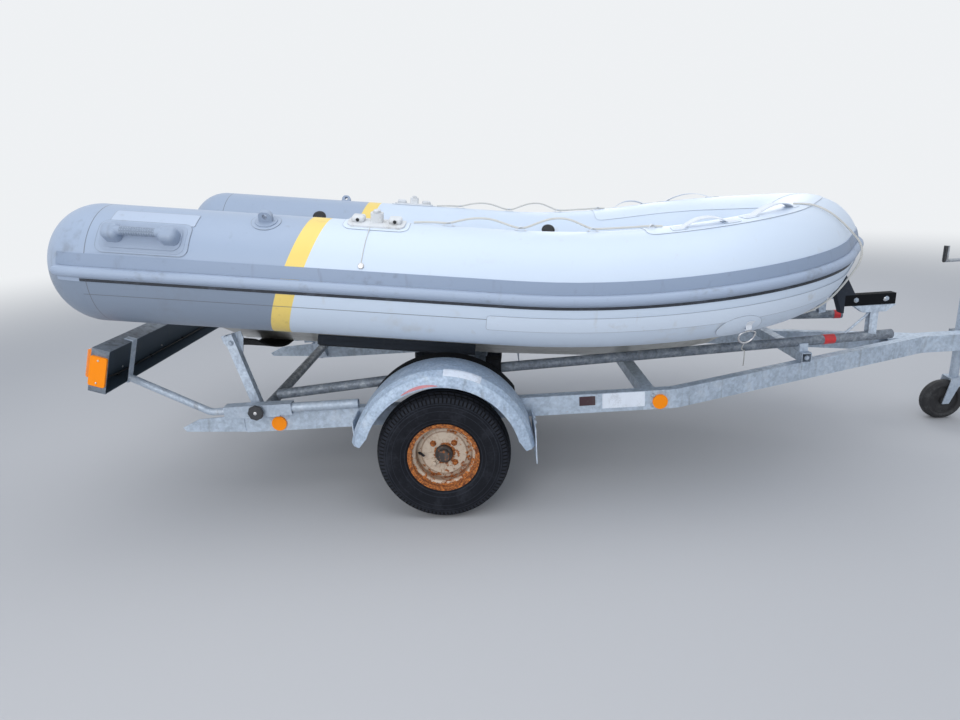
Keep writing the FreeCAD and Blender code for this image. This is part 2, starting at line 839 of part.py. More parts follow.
def strap_handle(first, last, angle):
    """Webbing handle: a foot glued down at each end and the middle standing off the tube."""
    half = STRAP_FOOT_ARC / 2
    sheet = skin_sheet(STRAP_HANDLE_T, angle - half, angle + half)
    feet = [part_way(sheet, first, first + STRAP_HANDLE_FOOT),
            part_way(sheet, last - STRAP_HANDLE_FOOT, last)]
    start = on_tube(first + STRAP_HANDLE_FOOT / 2, angle, FOOT)
    end = on_tube(last - STRAP_HANDLE_FOOT / 2, angle, FOOT)
    way = end.Base - start.Base
    up = start.Rotation.multVec(Vector(0, 0, 1)) + end.Rotation.multVec(Vector(0, 0, 1))
    sideways = up.cross(way).normalize()
    up = way.cross(sideways).normalize()
    step_in = way.normalize() * STRAP_HANDLE_RAMP
    low = [start.Base, start.Base + step_in + up * STRAP_HANDLE_RISE,
           end.Base - step_in + up * STRAP_HANDLE_RISE, end.Base]
    high = [point + up * STRAP_HANDLE_T for point in reversed(low)]
    band = plate([point - sideways * (STRAP_HANDLE_W / 2) for point in low + high],
                 sideways * STRAP_HANDLE_W)
    return largest(band.cut(tube_room).fuse(feet))


def tow_patch():
    """Round patch low on the bow with a lug that holds a ring."""
    base = part_way(skin_sheet(TOW_PATCH_T, TOW_PATCH_ANGLE - 20, TOW_PATCH_ANGLE + 20),
                    TOW_PATCH_AT - TOW_PATCH_R - 10, TOW_PATCH_AT + TOW_PATCH_R + 10)
    cutter = Part.makeCylinder(TOW_PATCH_R, 110, Vector(0, 0, -70))
    cutter.Placement = on_tube(TOW_PATCH_AT, TOW_PATCH_ANGLE)
    place = on_tube(TOW_PATCH_AT + TOW_RING_AHEAD, TOW_PATCH_ANGLE)
    lug = Part.makeBox(3 * TOW_LUG, TOW_LUG, TOW_LUG, Vector(-1.5 * TOW_LUG, -TOW_LUG / 2, FOOT))
    ring = Part.makeTorus(TOW_RING_R, TOW_ROD_R, Vector(0, -TOW_RING_R, TOW_LUG - 2), Vector(0, 0, 1))
    for shape in (lug, ring):
        shape.Placement = place.multiply(shape.Placement)
    return base.common(cutter).fuse([lug, ring])


def tube_rope(name, rows):
    return cord(name, [on_tube(*row).Base for row in rows], ROPE_R)


save("ropes", pair(tube_rope("lifeline", LIFELINE)) + [tube_rope("painter", PAINTER)], on_boat)
save("handle_patches", pair(rounded_patch(HANDLE_X, HANDLE_ANGLE, HANDLE_PAD_LEN,
                                          math.radians(HANDLE_PAD_ARC) * TUBE_R, 30, HANDLE_PAD_T)), on_boat)
save("grab_handles", pair(grab_handle()), on_boat)
save("ring_pads", pair(ring_pad()), on_boat)
save("rowlock_pads", pair(rowlock_pad()), on_boat)
save("strap_handles", [side for row in STRAP_HANDLES for side in pair(strap_handle(*row))], on_boat)
save("tow_rings", pair(tow_patch()), on_boat)

# Road wheels
wheel_y = WHEEL_OUT - TYRE_WIDTH / 2
disc_face = -RIM_HALF + DISC_INSET
bead_lip = RIM_R + RIM_FLANGE


def at_wheel(shape):
    shape.translate(Vector(0, -wheel_y, AXLE_Z))
    return shape


def tyre():
    half = TYRE_WIDTH / 2
    seat = RIM_HALF - SEAT
    foot = RIM_R + SEAT
    shoulder_r = TYRE_R - SHOULDER_DROP
    heel = Vector(0, seat, bead_lip)
    toe = Vector(0, -seat, bead_lip)
    right = Vector(0, SHOULDER_HALF, shoulder_r)
    left = Vector(0, -SHOULDER_HALF, shoulder_r)
    outline = [Part.makeLine(Vector(0, -seat, foot), Vector(0, seat, foot)),
               Part.makeLine(Vector(0, seat, foot), heel),
               Part.Arc(heel, Vector(0, half, WIDEST_R), right).toShape(),
               Part.Arc(right, Vector(0, 0, TYRE_R), left).toShape(),
               Part.Arc(left, Vector(0, -half, WIDEST_R), toe).toShape(),
               Part.makeLine(toe, Vector(0, -seat, foot))]
    return at_wheel(Part.Face(Part.Wire(outline)).revolve(Vector(0, 0, 0), Vector(0, 1, 0), 360))


def wheel():
    """Rim with a drop centre and curled flanges, and the dished disc welded in it."""
    lip = RIM_HALF + RIM_CURL
    side = RIM_HALF + RIM_WALL
    under = bead_lip - RIM_WALL
    seat_in = RIM_R - RIM_WALL
    well_in = WELL_R - RIM_WALL
    rim = turned([
        (-RIM_HALF, RIM_R), (-RIM_HALF, bead_lip), (-lip, bead_lip), (-lip, under), (-side, under),
        (-side, seat_in), (-WELL_OUT, seat_in), (-WELL_OUT + WELL_RAMP, well_in),
        (WELL_IN - WELL_RAMP, well_in), (WELL_IN, seat_in), (side, seat_in), (side, under),
        (lip, under), (lip, bead_lip), (RIM_HALF, bead_lip), (RIM_HALF, RIM_R), (WELL_IN, RIM_R),
        (WELL_IN - WELL_RAMP, WELL_R), (-WELL_OUT + WELL_RAMP, WELL_R), (-WELL_OUT, RIM_R)])
    bore = HUB_R + SEAT
    back = disc_face + DISC_T
    disc = turned([
        (disc_face, bore), (disc_face, DISC_FLAT_R), (disc_face + DISC_DISH, well_in + 1),
        (back + DISC_DISH, well_in + 1), (back, DISC_FLAT_R), (back, bore)])
    return at_wheel(rim.fuse(disc))


def hub():
    out = disc_face - HUB_OUT
    cap = out - HUB_CAP_LEN
    flange = disc_face + DISC_T
    inner = out + HUB_LEN
    bevel = 4.0
    return at_wheel(turned([
        (cap, 0), (cap, HUB_CAP_R - bevel), (cap + bevel, HUB_CAP_R), (out, HUB_CAP_R),
        (out, HUB_R - bevel), (out + bevel, HUB_R), (flange, HUB_R), (flange, HUB_FLANGE_R),
        (flange + HUB_FLANGE_T, HUB_FLANGE_R), (flange + HUB_FLANGE_T, HUB_R), (inner, HUB_R),
        (inner, STUB_R + FIT), (out + 2 * bevel, STUB_R + FIT), (out + 2 * bevel, 0)]))


save_sides("tyre", tyre())
save_sides("wheel", wheel())
save_sides("hub", hub())

# Axle: a square torsion tube under the rails and a trailing arm with the stub at each end
beam_z = RAIL_BOTTOM - AXLE_PLATE - BEAM_SIDE / 2
arm_in = -RAIL_OUT - ARM_GAP
arm_out = arm_in - ARM_T
beam = across(box_tube_face(BEAM_SIDE, BEAM_SIDE, BEAM_WALL), BEAM_AHEAD, beam_z, -arm_in)
save("axle_beam", [beam], on_trailer)


def swing_arm():
    pivot = Vector(BEAM_AHEAD, arm_in, beam_z)
    stub = Vector(0, arm_in, AXLE_Z)
    outboard = Vector(0, arm_out - arm_in, 0)
    boss = ARM_STUB_BOSS - 1
    web = plate([pivot + Vector(6, 0, ARM_PIVOT_R - 2), stub + Vector(0, 0, boss),
                 stub - Vector(0, 0, boss), pivot - Vector(6, 0, ARM_PIVOT_R - 2)], outboard)
    reach = Vector(0, -wheel_y + disc_face - HUB_OUT + CLEAR, AXLE_Z)
    return web.fuse([rod(pivot, pivot + outboard, ARM_PIVOT_R), rod(stub, stub + outboard, ARM_STUB_BOSS),
                     rod(stub + outboard / 2, reach, STUB_R)])


save("swing_arms", pair(swing_arm()))

# Side rails: box section that bends in to the nose tube
rail_mid = RAIL_BOTTOM + RAIL_H / 2
rail_in = RAIL_OUT - RAIL_W
slant = (NOSE_FRONT - BEND_X) / math.cos(math.radians(BEND_ANGLE))
rail_start = Placement(Vector(RAIL_REAR, -RAIL_Y, rail_mid), Rotation())
rail = along(box_tube_face(RAIL_W, RAIL_H, RAIL_WALL), rail_start,
             [("run", BEND_X - RAIL_REAR, 0), ("left", BEND_R, BEND_ANGLE), ("run", slant, 0)])
rail = rail.cut(box(BEND_X + BEND_R, NOSE_FRONT + slant, -NOSE_W / 2, RAIL_OUT, 0, 2 * RAIL_TOP))
save_sides("side_rail", largest(rail), on_trailer)
nose_start = Placement(Vector(NOSE_REAR, 0, rail_mid), Rotation())
save("drawbar_nose", [straight(box_tube_face(NOSE_W, RAIL_H, RAIL_WALL), nose_start,
                               NOSE_FRONT - NOSE_REAR)], on_trailer)
tail_end = RAIL_REAR - TAIL_LEN
tail = [(RAIL_REAR, RAIL_BOTTOM + RAIL_WALL), (RAIL_REAR, RAIL_TOP - RAIL_WALL),
        (RAIL_REAR - TAIL_LEN * 0.73, RAIL_TOP - TAIL_HIGH), (tail_end, RAIL_TOP - TAIL_LOW),
        (tail_end + TAIL_HIGH, RAIL_BOTTOM + TAIL_UNDER)]
tail = plate([Vector(x, -RAIL_OUT, z) for x, z in tail], Vector(0, TAIL_T, 0))
save("rail_tails", pair(tail), on_trailer)

# Cross-members
mid_top = RAIL_TOP + MID_BEAM_H
saddle_top = RAIL_TOP + SADDLE_BAR_SIDE
save("rear_cross_tube", [across(tube_face(REAR_CROSS_R, TUBE_WALL), REAR_CROSS_X,
                                RAIL_TOP + REAR_CROSS_R, RAIL_OUT)], on_trailer)
cross_beams = [
    # x, width, height, bottom, half length
    (MID_BEAM_X, MID_BEAM_W, MID_BEAM_H, RAIL_TOP, RAIL_OUT),
    (FRONT_BEAM_X, FRONT_BEAM_SIDE, FRONT_BEAM_SIDE, rail_mid - FRONT_BEAM_SIDE / 2, rail_in),
    (SADDLE_BAR_X, SADDLE_BAR_SIDE, SADDLE_BAR_SIDE, RAIL_TOP, SADDLE_BAR_HALF),
]
save("cross_beams", [across(box_tube_face(width, height, TUBE_WALL), x, bottom + height / 2, half)
                     for x, width, height, bottom, half in cross_beams], on_trailer)


# Spine tubes that carry the bow rest
def spine_tube(face):
    rear = Vector(REAR_CROSS_X + REAR_CROSS_R, -SPINE_REAR_Y, SPINE_REAR_Z)
    bend = Vector(SPINE_BEND_X, -SPINE_BEND_Y, SPINE_BEND_Z)
    front = Vector(SPINE_FRONT_X, -SPINE_FRONT_Y, SPINE_FRONT_Z)
    way_in = (bend - rear).normalize()
    way_out = (front - bend).normalize()
    turn = way_in.getAngle(way_out)
    reach = SPINE_BEND_R * math.tan(turn / 2)
    axis = way_in.cross(way_out).normalize()
    start = Placement(rear, Rotation(way_in, axis.cross(way_in), axis, "XZY"))
    return along(face, start, [("run", (bend - rear).Length - reach, 0),
                               ("left", SPINE_BEND_R, math.degrees(turn)),
                               ("run", (front - bend).Length - reach, 0)])


def spine_at(x):
    """Middle of the right spine tube at one station."""
    ends = [(REAR_CROSS_X, SPINE_REAR_Y, SPINE_REAR_Z), (SPINE_BEND_X, SPINE_BEND_Y, SPINE_BEND_Z),
            (SPINE_FRONT_X, SPINE_FRONT_Y, SPINE_FRONT_Z)]
    rear, front = ends[:2] if x < SPINE_BEND_X else ends[1:]
    part = (x - rear[0]) / (front[0] - rear[0])
    return Vector(x, -rear[1] - part * (front[1] - rear[1]), rear[2] + part * (front[2] - rear[2]))


spine = spine_tube(tube_face(SPINE_R, TUBE_WALL))
spine_solid = spine_tube(Part.Face(circle_wire(SPINE_R)))
save("spine_tubes", pair(spine), on_trailer)


def around_spine(x, length, half, below, above):
    """Block bored for the spine tube."""
    centre = spine_at(x)
    block = box(x - length / 2, x + length / 2, centre.y - half, centre.y + half, below, above)
    return block.cut(spine_solid)


saddles = []
for x, base in [(MID_BEAM_X, mid_top), (SADDLE_BAR_X, saddle_top)]:
    centre = spine_at(x)
    saddles += pair(largest(around_spine(x, SADDLE_LEN, SADDLE_HALF, base, centre.z - 2)))
save("saddles", saddles, on_trailer)
clamp_z = spine_at(CHOCK_X).z
save("spine_clamps", pair(largest(around_spine(CHOCK_X, CHOCK_LEN, CHOCK_HALF, clamp_z - CHOCK_DROP,
                                               clamp_z + CHOCK_RISE))), on_trailer)

# Light board on two arms that slide in guides on the rails
sleeve_z = RAIL_TOP + SLEEVE_PLATE + SLEEVE_SIDE / 2
sleeve_start = Placement(Vector(SLEEVE_REAR, -SLEEVE_Y, sleeve_z), Rotation())
board_frame = Placement(Vector(BOARD_X, 0, BOARD_Z), Rotation(Vector(0, 1, 0), BOARD_TILT))


def on_board(shape):
    shape.Placement = board_frame.multiply(shape.Placement)
    return shape


def sleeve():
    """Square tube over a round guide, joined by a plate at the rear."""
    bore = circle_wire(ARM_R + FIT)
    square = box_tube_face(SLEEVE_SIDE, SLEEVE_SIDE, TUBE_WALL)
    square = straight(square, sleeve_start, SLEEVE_FRONT - SLEEVE_REAR)
    guide = straight(ring_face(circle_wire(GUIDE_R), bore), sleeve_start, GUIDE_FRONT - SLEEVE_REAR)
    end = straight(ring_face(section_box(SLEEVE_SIDE, SLEEVE_SIDE), bore), sleeve_start, TUBE_WALL)
    return guide.fuse([square, end])


def light_arm():
    start = Placement(Vector(ARM_FRONT, -SLEEVE_Y, sleeve_z), Rotation(Vector(0, 0, 1), 180))
    rise = math.radians(ARM_RISE)
    reach = ARM_BEND_R * math.tan(rise / 2)
    length = (ARM_BEND_X - BOARD_X) / math.cos(rise)
    arm = along(tube_face(ARM_R, ARM_WALL), start, [("run", ARM_FRONT - ARM_BEND_X - reach, 0),
                                                    ("up", ARM_BEND_R, ARM_RISE), ("run", length, 0)])
    face = BOARD_DEPTH + SEAT
    half = BOARD_H / 2 + SEAT
    strap_side = -SLEEVE_Y - STRAP_W / 2
    outer = face + STRAP_T
    outer_half = half + STRAP_T
    outline = [(face - STRAP_W, half), (face, half), (face, -half), (0, -half), (0, -outer_half),
               (outer, -outer_half), (outer, outer_half), (face - STRAP_W, outer_half)]
    strap = on_board(plate([Vector(x, strap_side, z) for x, z in outline], Vector(0, STRAP_W, 0)))
    behind = on_board(box(-BOARD_H, face + STRAP_T / 2, -SLEEVE_Y - BOARD_H, 0, -BOARD_H, BOARD_H))
    return arm.cut(behind).fuse(strap)


def light_board():
    """Folded channel, open to the front, closed at both ends."""
    half = BOARD_H / 2
    wall = BOARD_WALL
    outline = [(0, -half), (BOARD_DEPTH, -half), (BOARD_DEPTH, -half + wall), (wall, -half + wall),
               (wall, half - wall), (BOARD_DEPTH, half - wall), (BOARD_DEPTH, half), (0, half)]
    channel = plate([Vector(x, -BOARD_HALF, z) for x, z in outline], Vector(0, 2 * BOARD_HALF, 0))
    end = box(0, BOARD_DEPTH, -BOARD_HALF, -BOARD_HALF + wall, -half, half)
    return on_board(channel.fuse(pair(end)).removeSplitter())


def lamp():
    shape = Part.makeBox(LAMP_DEPTH, LAMP_LEN, LAMP_H,
                         Vector(-LAMP_DEPTH, -LAMP_Y - LAMP_LEN / 2, -LAMP_H / 2))
    front = [edge for edge in shape.Edges if edge.BoundBox.XMax < -LAMP_DEPTH + 1]
    return on_board(shape.makeFillet(LAMP_ROUND, front))


def end_reflector():
    middle_x = BOARD_DEPTH / 2
    shape = box(middle_x - END_REFLECTOR_W / 2, middle_x + END_REFLECTOR_W / 2, -BOARD_HALF - REFLECTOR_T,
                -BOARD_HALF, -END_REFLECTOR_H / 2, END_REFLECTOR_H / 2)
    corners = [edge for edge in shape.Edges if edge.BoundBox.YLength > REFLECTOR_T / 2]
    return on_board(shape.makeFillet(END_REFLECTOR_ROUND, corners))


save("board_sleeves", pair(sleeve()), on_trailer)
save("light_arms", pair(light_arm()), on_trailer)
save("light_board", [light_board()], on_trailer)
save("tail_lamps", pair(lamp()), on_trailer)
save("end_reflectors", pair(end_reflector()), on_trailer)
rail_plates = [box(BEAM_AHEAD - AXLE_PLATE_LEN / 2, BEAM_AHEAD + AXLE_PLATE_LEN / 2,
                   -RAIL_OUT, -rail_in + AXLE_PLATE_IN, RAIL_BOTTOM - AXLE_PLATE, RAIL_BOTTOM)]
for x in (SLEEVE_REAR + SLEEVE_PLATE_LEN, SLEEVE_FRONT - 2 * SLEEVE_PLATE_LEN):
    rail_plates.append(box(x, x + SLEEVE_PLATE_LEN, -SLEEVE_Y - SLEEVE_SIDE / 2, -rail_in,
                           RAIL_TOP, RAIL_TOP + SLEEVE_PLATE))
save("rail_plates", [side for block in rail_plates for side in pair(block)], on_trailer)
rail_reflectors = []
for x in (REFLECTOR_REAR, REFLECTOR_FRONT):
    face = Vector(x, -RAIL_OUT, RAIL_BOTTOM + REFLECTOR_RISE)
    rail_reflectors += pair(rod(face, face - Vector(0, REFLECTOR_T, 0), REFLECTOR_R))
save("rail_reflectors", rail_reflectors, on_trailer)


def knob():
    """Three-lobed knob on the screw that locks the arm."""
    out = -SLEEVE_Y - SLEEVE_SIDE / 2
    x = (SLEEVE_REAR + SLEEVE_FRONT) / 2
    grip = Vector(0, -KNOB_GRIP, 0)
    centre = Vector(x, out + KNOB_GRIP - KNOB_OUT, sleeve_z)
    pieces = [rod(centre, centre + grip, KNOB_R)]
    for lobe in range(3):
        turn = math.radians(90 + 120 * lobe)
        lobe_centre = centre + Vector(math.cos(turn), 0, math.sin(turn)) * KNOB_R
        pieces.append(rod(lobe_centre, lobe_centre + grip, KNOB_LOBE_R))
    return rod(Vector(x, out, sleeve_z), centre + grip / 2, KNOB_STEM_R).fuse(pieces).removeSplitter()


save("sleeve_knobs", pair(knob()), on_trailer)


# Fenders pressed from sheet, each held by two upright stays on the rail
def fender():
    def line_at(offset):
        crown = FENDER_R - offset
        side = -FENDER_OUT + offset
        bend = FENDER_ROUND - offset
        return [Vector(0, -FENDER_IN, crown - FENDER_FLANGE_DROP),
                Vector(0, -FENDER_IN - FENDER_FLANGE, crown), Vector(0, side + bend, crown),
                Vector(0, side + bend / 3, crown - bend / 3), Vector(0, side, crown - bend),
                Vector(0, side, LIP_R)]
    outline = line_at(0) + line_at(FENDER_T)[::-1]
    face = Part.Face(Part.makePolygon(outline + [outline[0]]))
    face.rotate(Vector(0, 0, 0), Vector(0, 1, 0), 90 - FENDER_FRONT)
    shape = face.revolve(Vector(0, 0, 0), Vector(0, -1, 0), 180 - FENDER_FRONT - FENDER_REAR)
    for side, angle in ((1, FENDER_FRONT), (-1, FENDER_REAR)):
        ray = Vector(side * math.cos(math.radians(angle)), 0, math.sin(math.radians(angle)))
        rise = Vector(-ray.z * side, 0, ray.x * side)
        foot = ray * (LIP_R - 2) + Vector(0, -FENDER_OUT - 5, 0) - rise * 2
        trim = plate([foot, foot + ray * FENDER_TRIM, foot + rise * 2 * FENDER_TRIM],
                     Vector(0, FENDER_ROUND, 0))
        shape = shape.cut(trim)
    shape.translate(Vector(0, 0, AXLE_Z))
    return shape


front_stay_x = FENDER_R + SEAT
rear_stay_x = -FENDER_R * math.cos(math.radians(FENDER_REAR)) - SEAT - STAY_T
save("fenders", pair(largest(fender())), on_trailer)
save("fender_stays",
     pair(box(front_stay_x, front_stay_x + STAY_T, -FENDER_OUT + STAY_SHORT, -RAIL_OUT,
              RAIL_BOTTOM - STAY_H, RAIL_BOTTOM + STAY_WELD))
     + pair(box(rear_stay_x, rear_stay_x + STAY_T, -FENDER_OUT + 4 * STAY_SHORT, -RAIL_OUT,
                RAIL_BOTTOM + 4, RAIL_TOP - 10)), on_trailer)
guard_r = FENDER_R - FENDER_FLANGE_DROP - FENDER_T - SEAT
guard_out = FENDER_IN + 8
guard = turned([(-GUARD_IN, guard_r - GUARD_T), (-GUARD_IN, guard_r), (-guard_out, guard_r),
                (-guard_out, guard_r - GUARD_T)])
guard_low = guard_r * math.cos(math.radians(GUARD_SPAN / 2))
guard = guard.common(box(-guard_r, guard_r, -guard_out, -GUARD_IN, guard_low, guard_r))
guard.translate(Vector(0, 0, AXLE_Z))
save("splash_guards", pair(guard), on_trailer)

# Rear posts and the rubber belt slung between them under the keel
post_in = rail_in - POST_W
post_y = -post_in - POST_W / 2
post_foot = Vector(POST_FOOT_X, post_y, RAIL_BOTTOM + 10)
post_head = Vector(POST_HEAD_X, post_y, POST_HEAD_Z)
post_way = (post_head - post_foot).normalize()
post_side = Vector(0, 1, 0).cross(post_way)


def rear_post():
    tube = straight(box_tube_face(POST_W, POST_L, TUBE_WALL), heading(post_foot, post_way, post_side),
                    (post_head - post_foot).Length)
    top = post_head + Vector(0, post_in + post_y, 0)
    top.y = -post_in
    low = top - post_way * HEAD_PLATE_H * 1.5
    shoulder_at = top - post_way * HEAD_PLATE_H / 2
    wide = post_side * HEAD_PLATE_W / 2
    narrow = post_side * POST_L / 2
    flare = plate([top + wide, top - wide, shoulder_at - wide, low - narrow, low + narrow,
                   shoulder_at + wide], Vector(0, HEAD_PLATE_T, 0))
    return tube.fuse(flare)


belt_y = post_in - HEAD_PLATE_T - SEAT
belt_line = [(belt_y, BELT_END_Z), (belt_y * 0.5, (BELT_END_Z + keel_z) / 2 - BELT_SAG),
             (BELT_FLAT, keel_z - SEAT)]
belt_line += [(-y, z) for y, z in reversed(belt_line)]
belt_line += [(y, z - BELT_T) for y, z in reversed(belt_line)]
belt = plate([Vector(BELT_X - BELT_W / 2, y, z) for y, z in belt_line], Vector(BELT_W, 0, 0))
save("rear_posts", pair(rear_post()), on_trailer)
save("rear_belt", [belt], on_boat)

# Bunk boards under the bottom panels, and the posts that carry them on the middle beam
panel_slope = (HULL[0][3] - keel_z) / HULL[0][2]
panel_angle = math.atan(panel_slope)
up_panel = Vector(0, -math.cos(panel_angle), math.sin(panel_angle))
off_panel = Vector(0, -math.sin(panel_angle), -math.cos(panel_angle))


def bunk_block(gap, thick, extra=0.0):
    corner = Vector(BUNK_REAR, -BUNK_Y, keel_z + panel_slope * BUNK_Y) + off_panel * gap - up_panel * extra
    side = up_panel * (BUNK_W + 2 * extra)
    return plate([corner, corner + side, corner + side + off_panel * thick, corner + off_panel * thick],
                 Vector(BUNK_LEN, 0, 0))


half_post = BUNK_POST_W / 2
bunk_room = laid(bunk_block(-BUNK_LEN / 4, BUNK_LEN / 4 + BUNK_T + 2 * SEAT, BUNK_W), on_boat)
bunk_post = laid(box(MID_BEAM_X - half_post, MID_BEAM_X + half_post, -BUNK_POST_Y - half_post,
                     -BUNK_POST_Y + half_post, mid_top, BUNK_POST_TOP), on_trailer)
bunk_post = min(bunk_post.cut(bunk_room).Solids, key=lambda solid: solid.BoundBox.ZMin)
save("bunks", pair(bunk_block(SEAT, BUNK_T)), on_boat)
save("bunk_posts", pair(bunk_post))


# Bow rest: a post on each spine tube, a bar across them, and an arm with a pad each side
def rest_frame():
    centre = spine_at(REST_X)
    half = REST_POST / 2
    outer = centre.y - half
    post = box(REST_X - half, REST_X + half, outer, centre.y + half, centre.z + 6, REST_Z)
    hollow = box(REST_X - half, REST_X + half - REST_WALL, outer + REST_WALL,
                 centre.y + half - REST_WALL, 0, REST_Z)
    cradle_top = REST_Z + REST_BAR_H
    cradle = plate([Vector(REST_X - REST_BAR_W, outer, REST_Z), Vector(REST_X + REST_BAR_W, outer, REST_Z),
                    Vector(REST_X + REST_AHEAD, outer, cradle_top),
                    Vector(REST_X - REST_AHEAD, outer, cradle_top)], Vector(0, REST_POST, 0))
    side = post.cut(hollow).fuse(cradle).cut(spine_solid)
    bar = box(REST_X - REST_BAR_W / 2, REST_X + REST_BAR_W / 2, -REST_HALF, REST_HALF, REST_Z, cradle_top)
    foot = spine_at(REST_X - REST_BRACE)
    brace = rod(foot + Vector(0, 0, SPINE_R - 2), Vector(REST_X - half + 2, centre.y, REST_Z - 8),
                REST_BRACE_R)
    return bar.fuse(pair(largest(side)) + pair(brace.cut(spine_solid)))


arm_z = REST_Z + REST_BAR_H
arm_back = REST_X - REST_BACK
rest_arm = box(arm_back, REST_X + REST_AHEAD, -REST_ARM_Y - REST_ARM_W / 2, -REST_ARM_Y + REST_ARM_W / 2,
               arm_z, arm_z + REST_ARM_H)
rest_room = box(arm_back, REST_X + REST_AHEAD, -REST_ARM_Y - REST_ARM_W, -REST_ARM_Y + REST_ARM_W,
                0, arm_z + REST_ARM_H)
pad = plate([Vector(x, -REST_ARM_Y - REST_ARM_W / 2, z) for x, z in [
    (arm_back - PAD_BACK, arm_z - PAD_DROP), (arm_back, arm_z - PAD_DROP),
    (arm_back + PAD_FACE, arm_z + REST_ARM_H), (arm_back + PAD_FACE - PAD_LEAN, arm_z + PAD_HEIGHT),
    (arm_back - PAD_BACK - PAD_LEAN, arm_z + PAD_HEIGHT)]], Vector(0, REST_ARM_W, 0))
pad = laid(pad.cut(rest_room), on_trailer).cut(laid(tube_room, on_boat))
pad = min(pad.Solids, key=lambda solid: solid.BoundBox.ZMin)
save("bow_rest", [rest_frame()], on_trailer)
save("bow_rest_arms", pair(rest_arm), on_trailer)
save("bow_pads", pair(pad))


# Ball coupling on the nose tube
def coupling():
    half = COUPLING_HALF
    neck = COUPLING_HIGH - 4
    outline = [(COUPLING_REAR, 0), (COUPLING_REAR, COUPLING_LOW), (COUPLING_REAR + 2 * half, neck),
               (BALL_X - 2 * DOME_R, COUPLING_HIGH), (BALL_X, neck), (BALL_X, 2),
               (NOSE_FRONT + 20, -10), (NOSE_FRONT + 2, 0)]
    body = plate([Vector(x, -half, RAIL_TOP + z) for x, z in outline], Vector(0, 2 * half, 0))
    ball = Vector(BALL_X, 0, BALL_Z)
    mouth = ball - Vector(0, 0, BALL_DROP)
    far_below = mouth - Vector(0, 0, 60)
    return body.fuse([Part.makeSphere(DOME_R, ball), rod(mouth, ball, DOME_R)]).cut(
        [rod(far_below, mouth, 2 * DOME_R), Part.makeSphere(BALL_R, ball), rod(far_below, ball, BALL_R)])


save("coupling_head", [largest(coupling())], on_trailer)

# Jockey wheel, drawn upright in the trailer's frame so that its tyre meets the ground
jack_axle_x = JACK_X - JACK_TRAIL
tilt = math.radians(NOSE_UP)
jack_axle_z = AXLE_Z + (JACK_WHEEL_R - AXLE_Z - jack_axle_x * math.sin(tilt)) / math.cos(tilt)
fork_top = jack_axle_z + JACK_WHEEL_R + FORK_CROWN
jack_low = fork_top + JACK_RAISE + CLEAR


def at_jack(z):
    return Vector(JACK_X, JACK_Y, z)


def jack_tube():
    tube = rod(at_jack(jack_low), at_jack(JACK_TOP), JACK_OUTER_R)
    tube = tube.cut(rod(at_jack(0), at_jack(JACK_TOP), JACK_INNER_R + FIT))
    return tube.fuse(rod(at_jack(JACK_TOP), at_jack(JACK_TOP + JACK_CAP), JACK_OUTER_R))


def jack_crank():
    base = JACK_TOP + JACK_CAP
    start = heading(at_jack(base), Vector(0, 0, 1), Vector(1, 0, 0))
    arm = along(Part.Face(circle_wire(CRANK_R)), start, [
        ("run", CRANK_RISE, 0), ("down", 2 * CRANK_R, 90), ("run", CRANK_REACH, 0)])
    end = at_jack(base + CRANK_RISE + 2 * CRANK_R) - Vector(CRANK_REACH + CRANK_R, 0, 0)
    return arm.fuse(rod(end, end + Vector(0, 0, GRIP_LEN), GRIP_R))


def jack_fork():
    half = JACK_WHEEL_W / 2 + FORK_SIDE_GAP
    outer = half + FORK_T
    crown = box(JACK_X - FORK_HALF, JACK_X + FORK_HALF, JACK_Y - outer, JACK_Y + outer,
                fork_top - FORK_T, fork_top)
    foot = jack_axle_z - 2 * JACK_PIN_R
    cheek = [(JACK_X + FORK_HALF - 2, fork_top - 1), (JACK_X - FORK_HALF, fork_top - 1),
             (jack_axle_x - 2 * JACK_PIN_R, foot), (jack_axle_x + 2 * JACK_PIN_R, foot)]
    cheeks = [plate([Vector(x, y, z) for x, z in cheek], Vector(0, FORK_T, 0))
              for y in (JACK_Y - outer, JACK_Y + half)]
    pin = rod(Vector(jack_axle_x, JACK_Y - outer, jack_axle_z),
              Vector(jack_axle_x, JACK_Y + outer, jack_axle_z), JACK_PIN_R)
    stem = rod(at_jack(fork_top - 1), at_jack(fork_top + JACK_STEM), JACK_STEM_R)
    return crown.fuse(cheeks + [pin, stem])


def jack_wheel():
    half = JACK_WHEEL_W / 2
    hub_half = half + FORK_SIDE_GAP - SEAT
    side = [(hub_half, JACK_PIN_R + FIT), (hub_half, JACK_HUB_R), (half / 2, JACK_HUB_R),
            (half / 2, JACK_WHEEL_R * 0.66), (half - 4, JACK_WHEEL_R * 0.7), (half, JACK_WHEEL_R * 0.8),
            (half - 6, JACK_WHEEL_R - 5), (half / 3, JACK_WHEEL_R)]
    shape = turned(side + [(-y, radius) for y, radius in reversed(side)])
    shape.translate(Vector(jack_axle_x, JACK_Y, jack_axle_z))
    return shape


clamp = box(JACK_X - JACK_OUTER_R - 10, JACK_X + JACK_OUTER_R + 10, NOSE_W / 2, JACK_Y + JACK_OUTER_R + 10,
            rail_mid - CLAMP_H / 2, rail_mid + CLAMP_H / 2)
leg = rod(at_jack(fork_top + SEAT), at_jack(fork_top + SEAT + JACK_LEG), JACK_INNER_R)
save("jack_tube", [jack_tube()], on_trailer)
save("jack_crank", [jack_crank()], on_trailer)
save("jack_clamp", [clamp.cut(rod(at_jack(0), at_jack(JACK_TOP), JACK_OUTER_R))], on_trailer)
stem_bore = rod(at_jack(0), at_jack(fork_top + JACK_STEM + 2), JACK_STEM_R + FIT)
save("jack_leg", [leg.cut(stem_bore)], on_trailer)
save("jack_fork", [jack_fork()], on_trailer)
save("jack_wheel", [jack_wheel()], on_trailer)
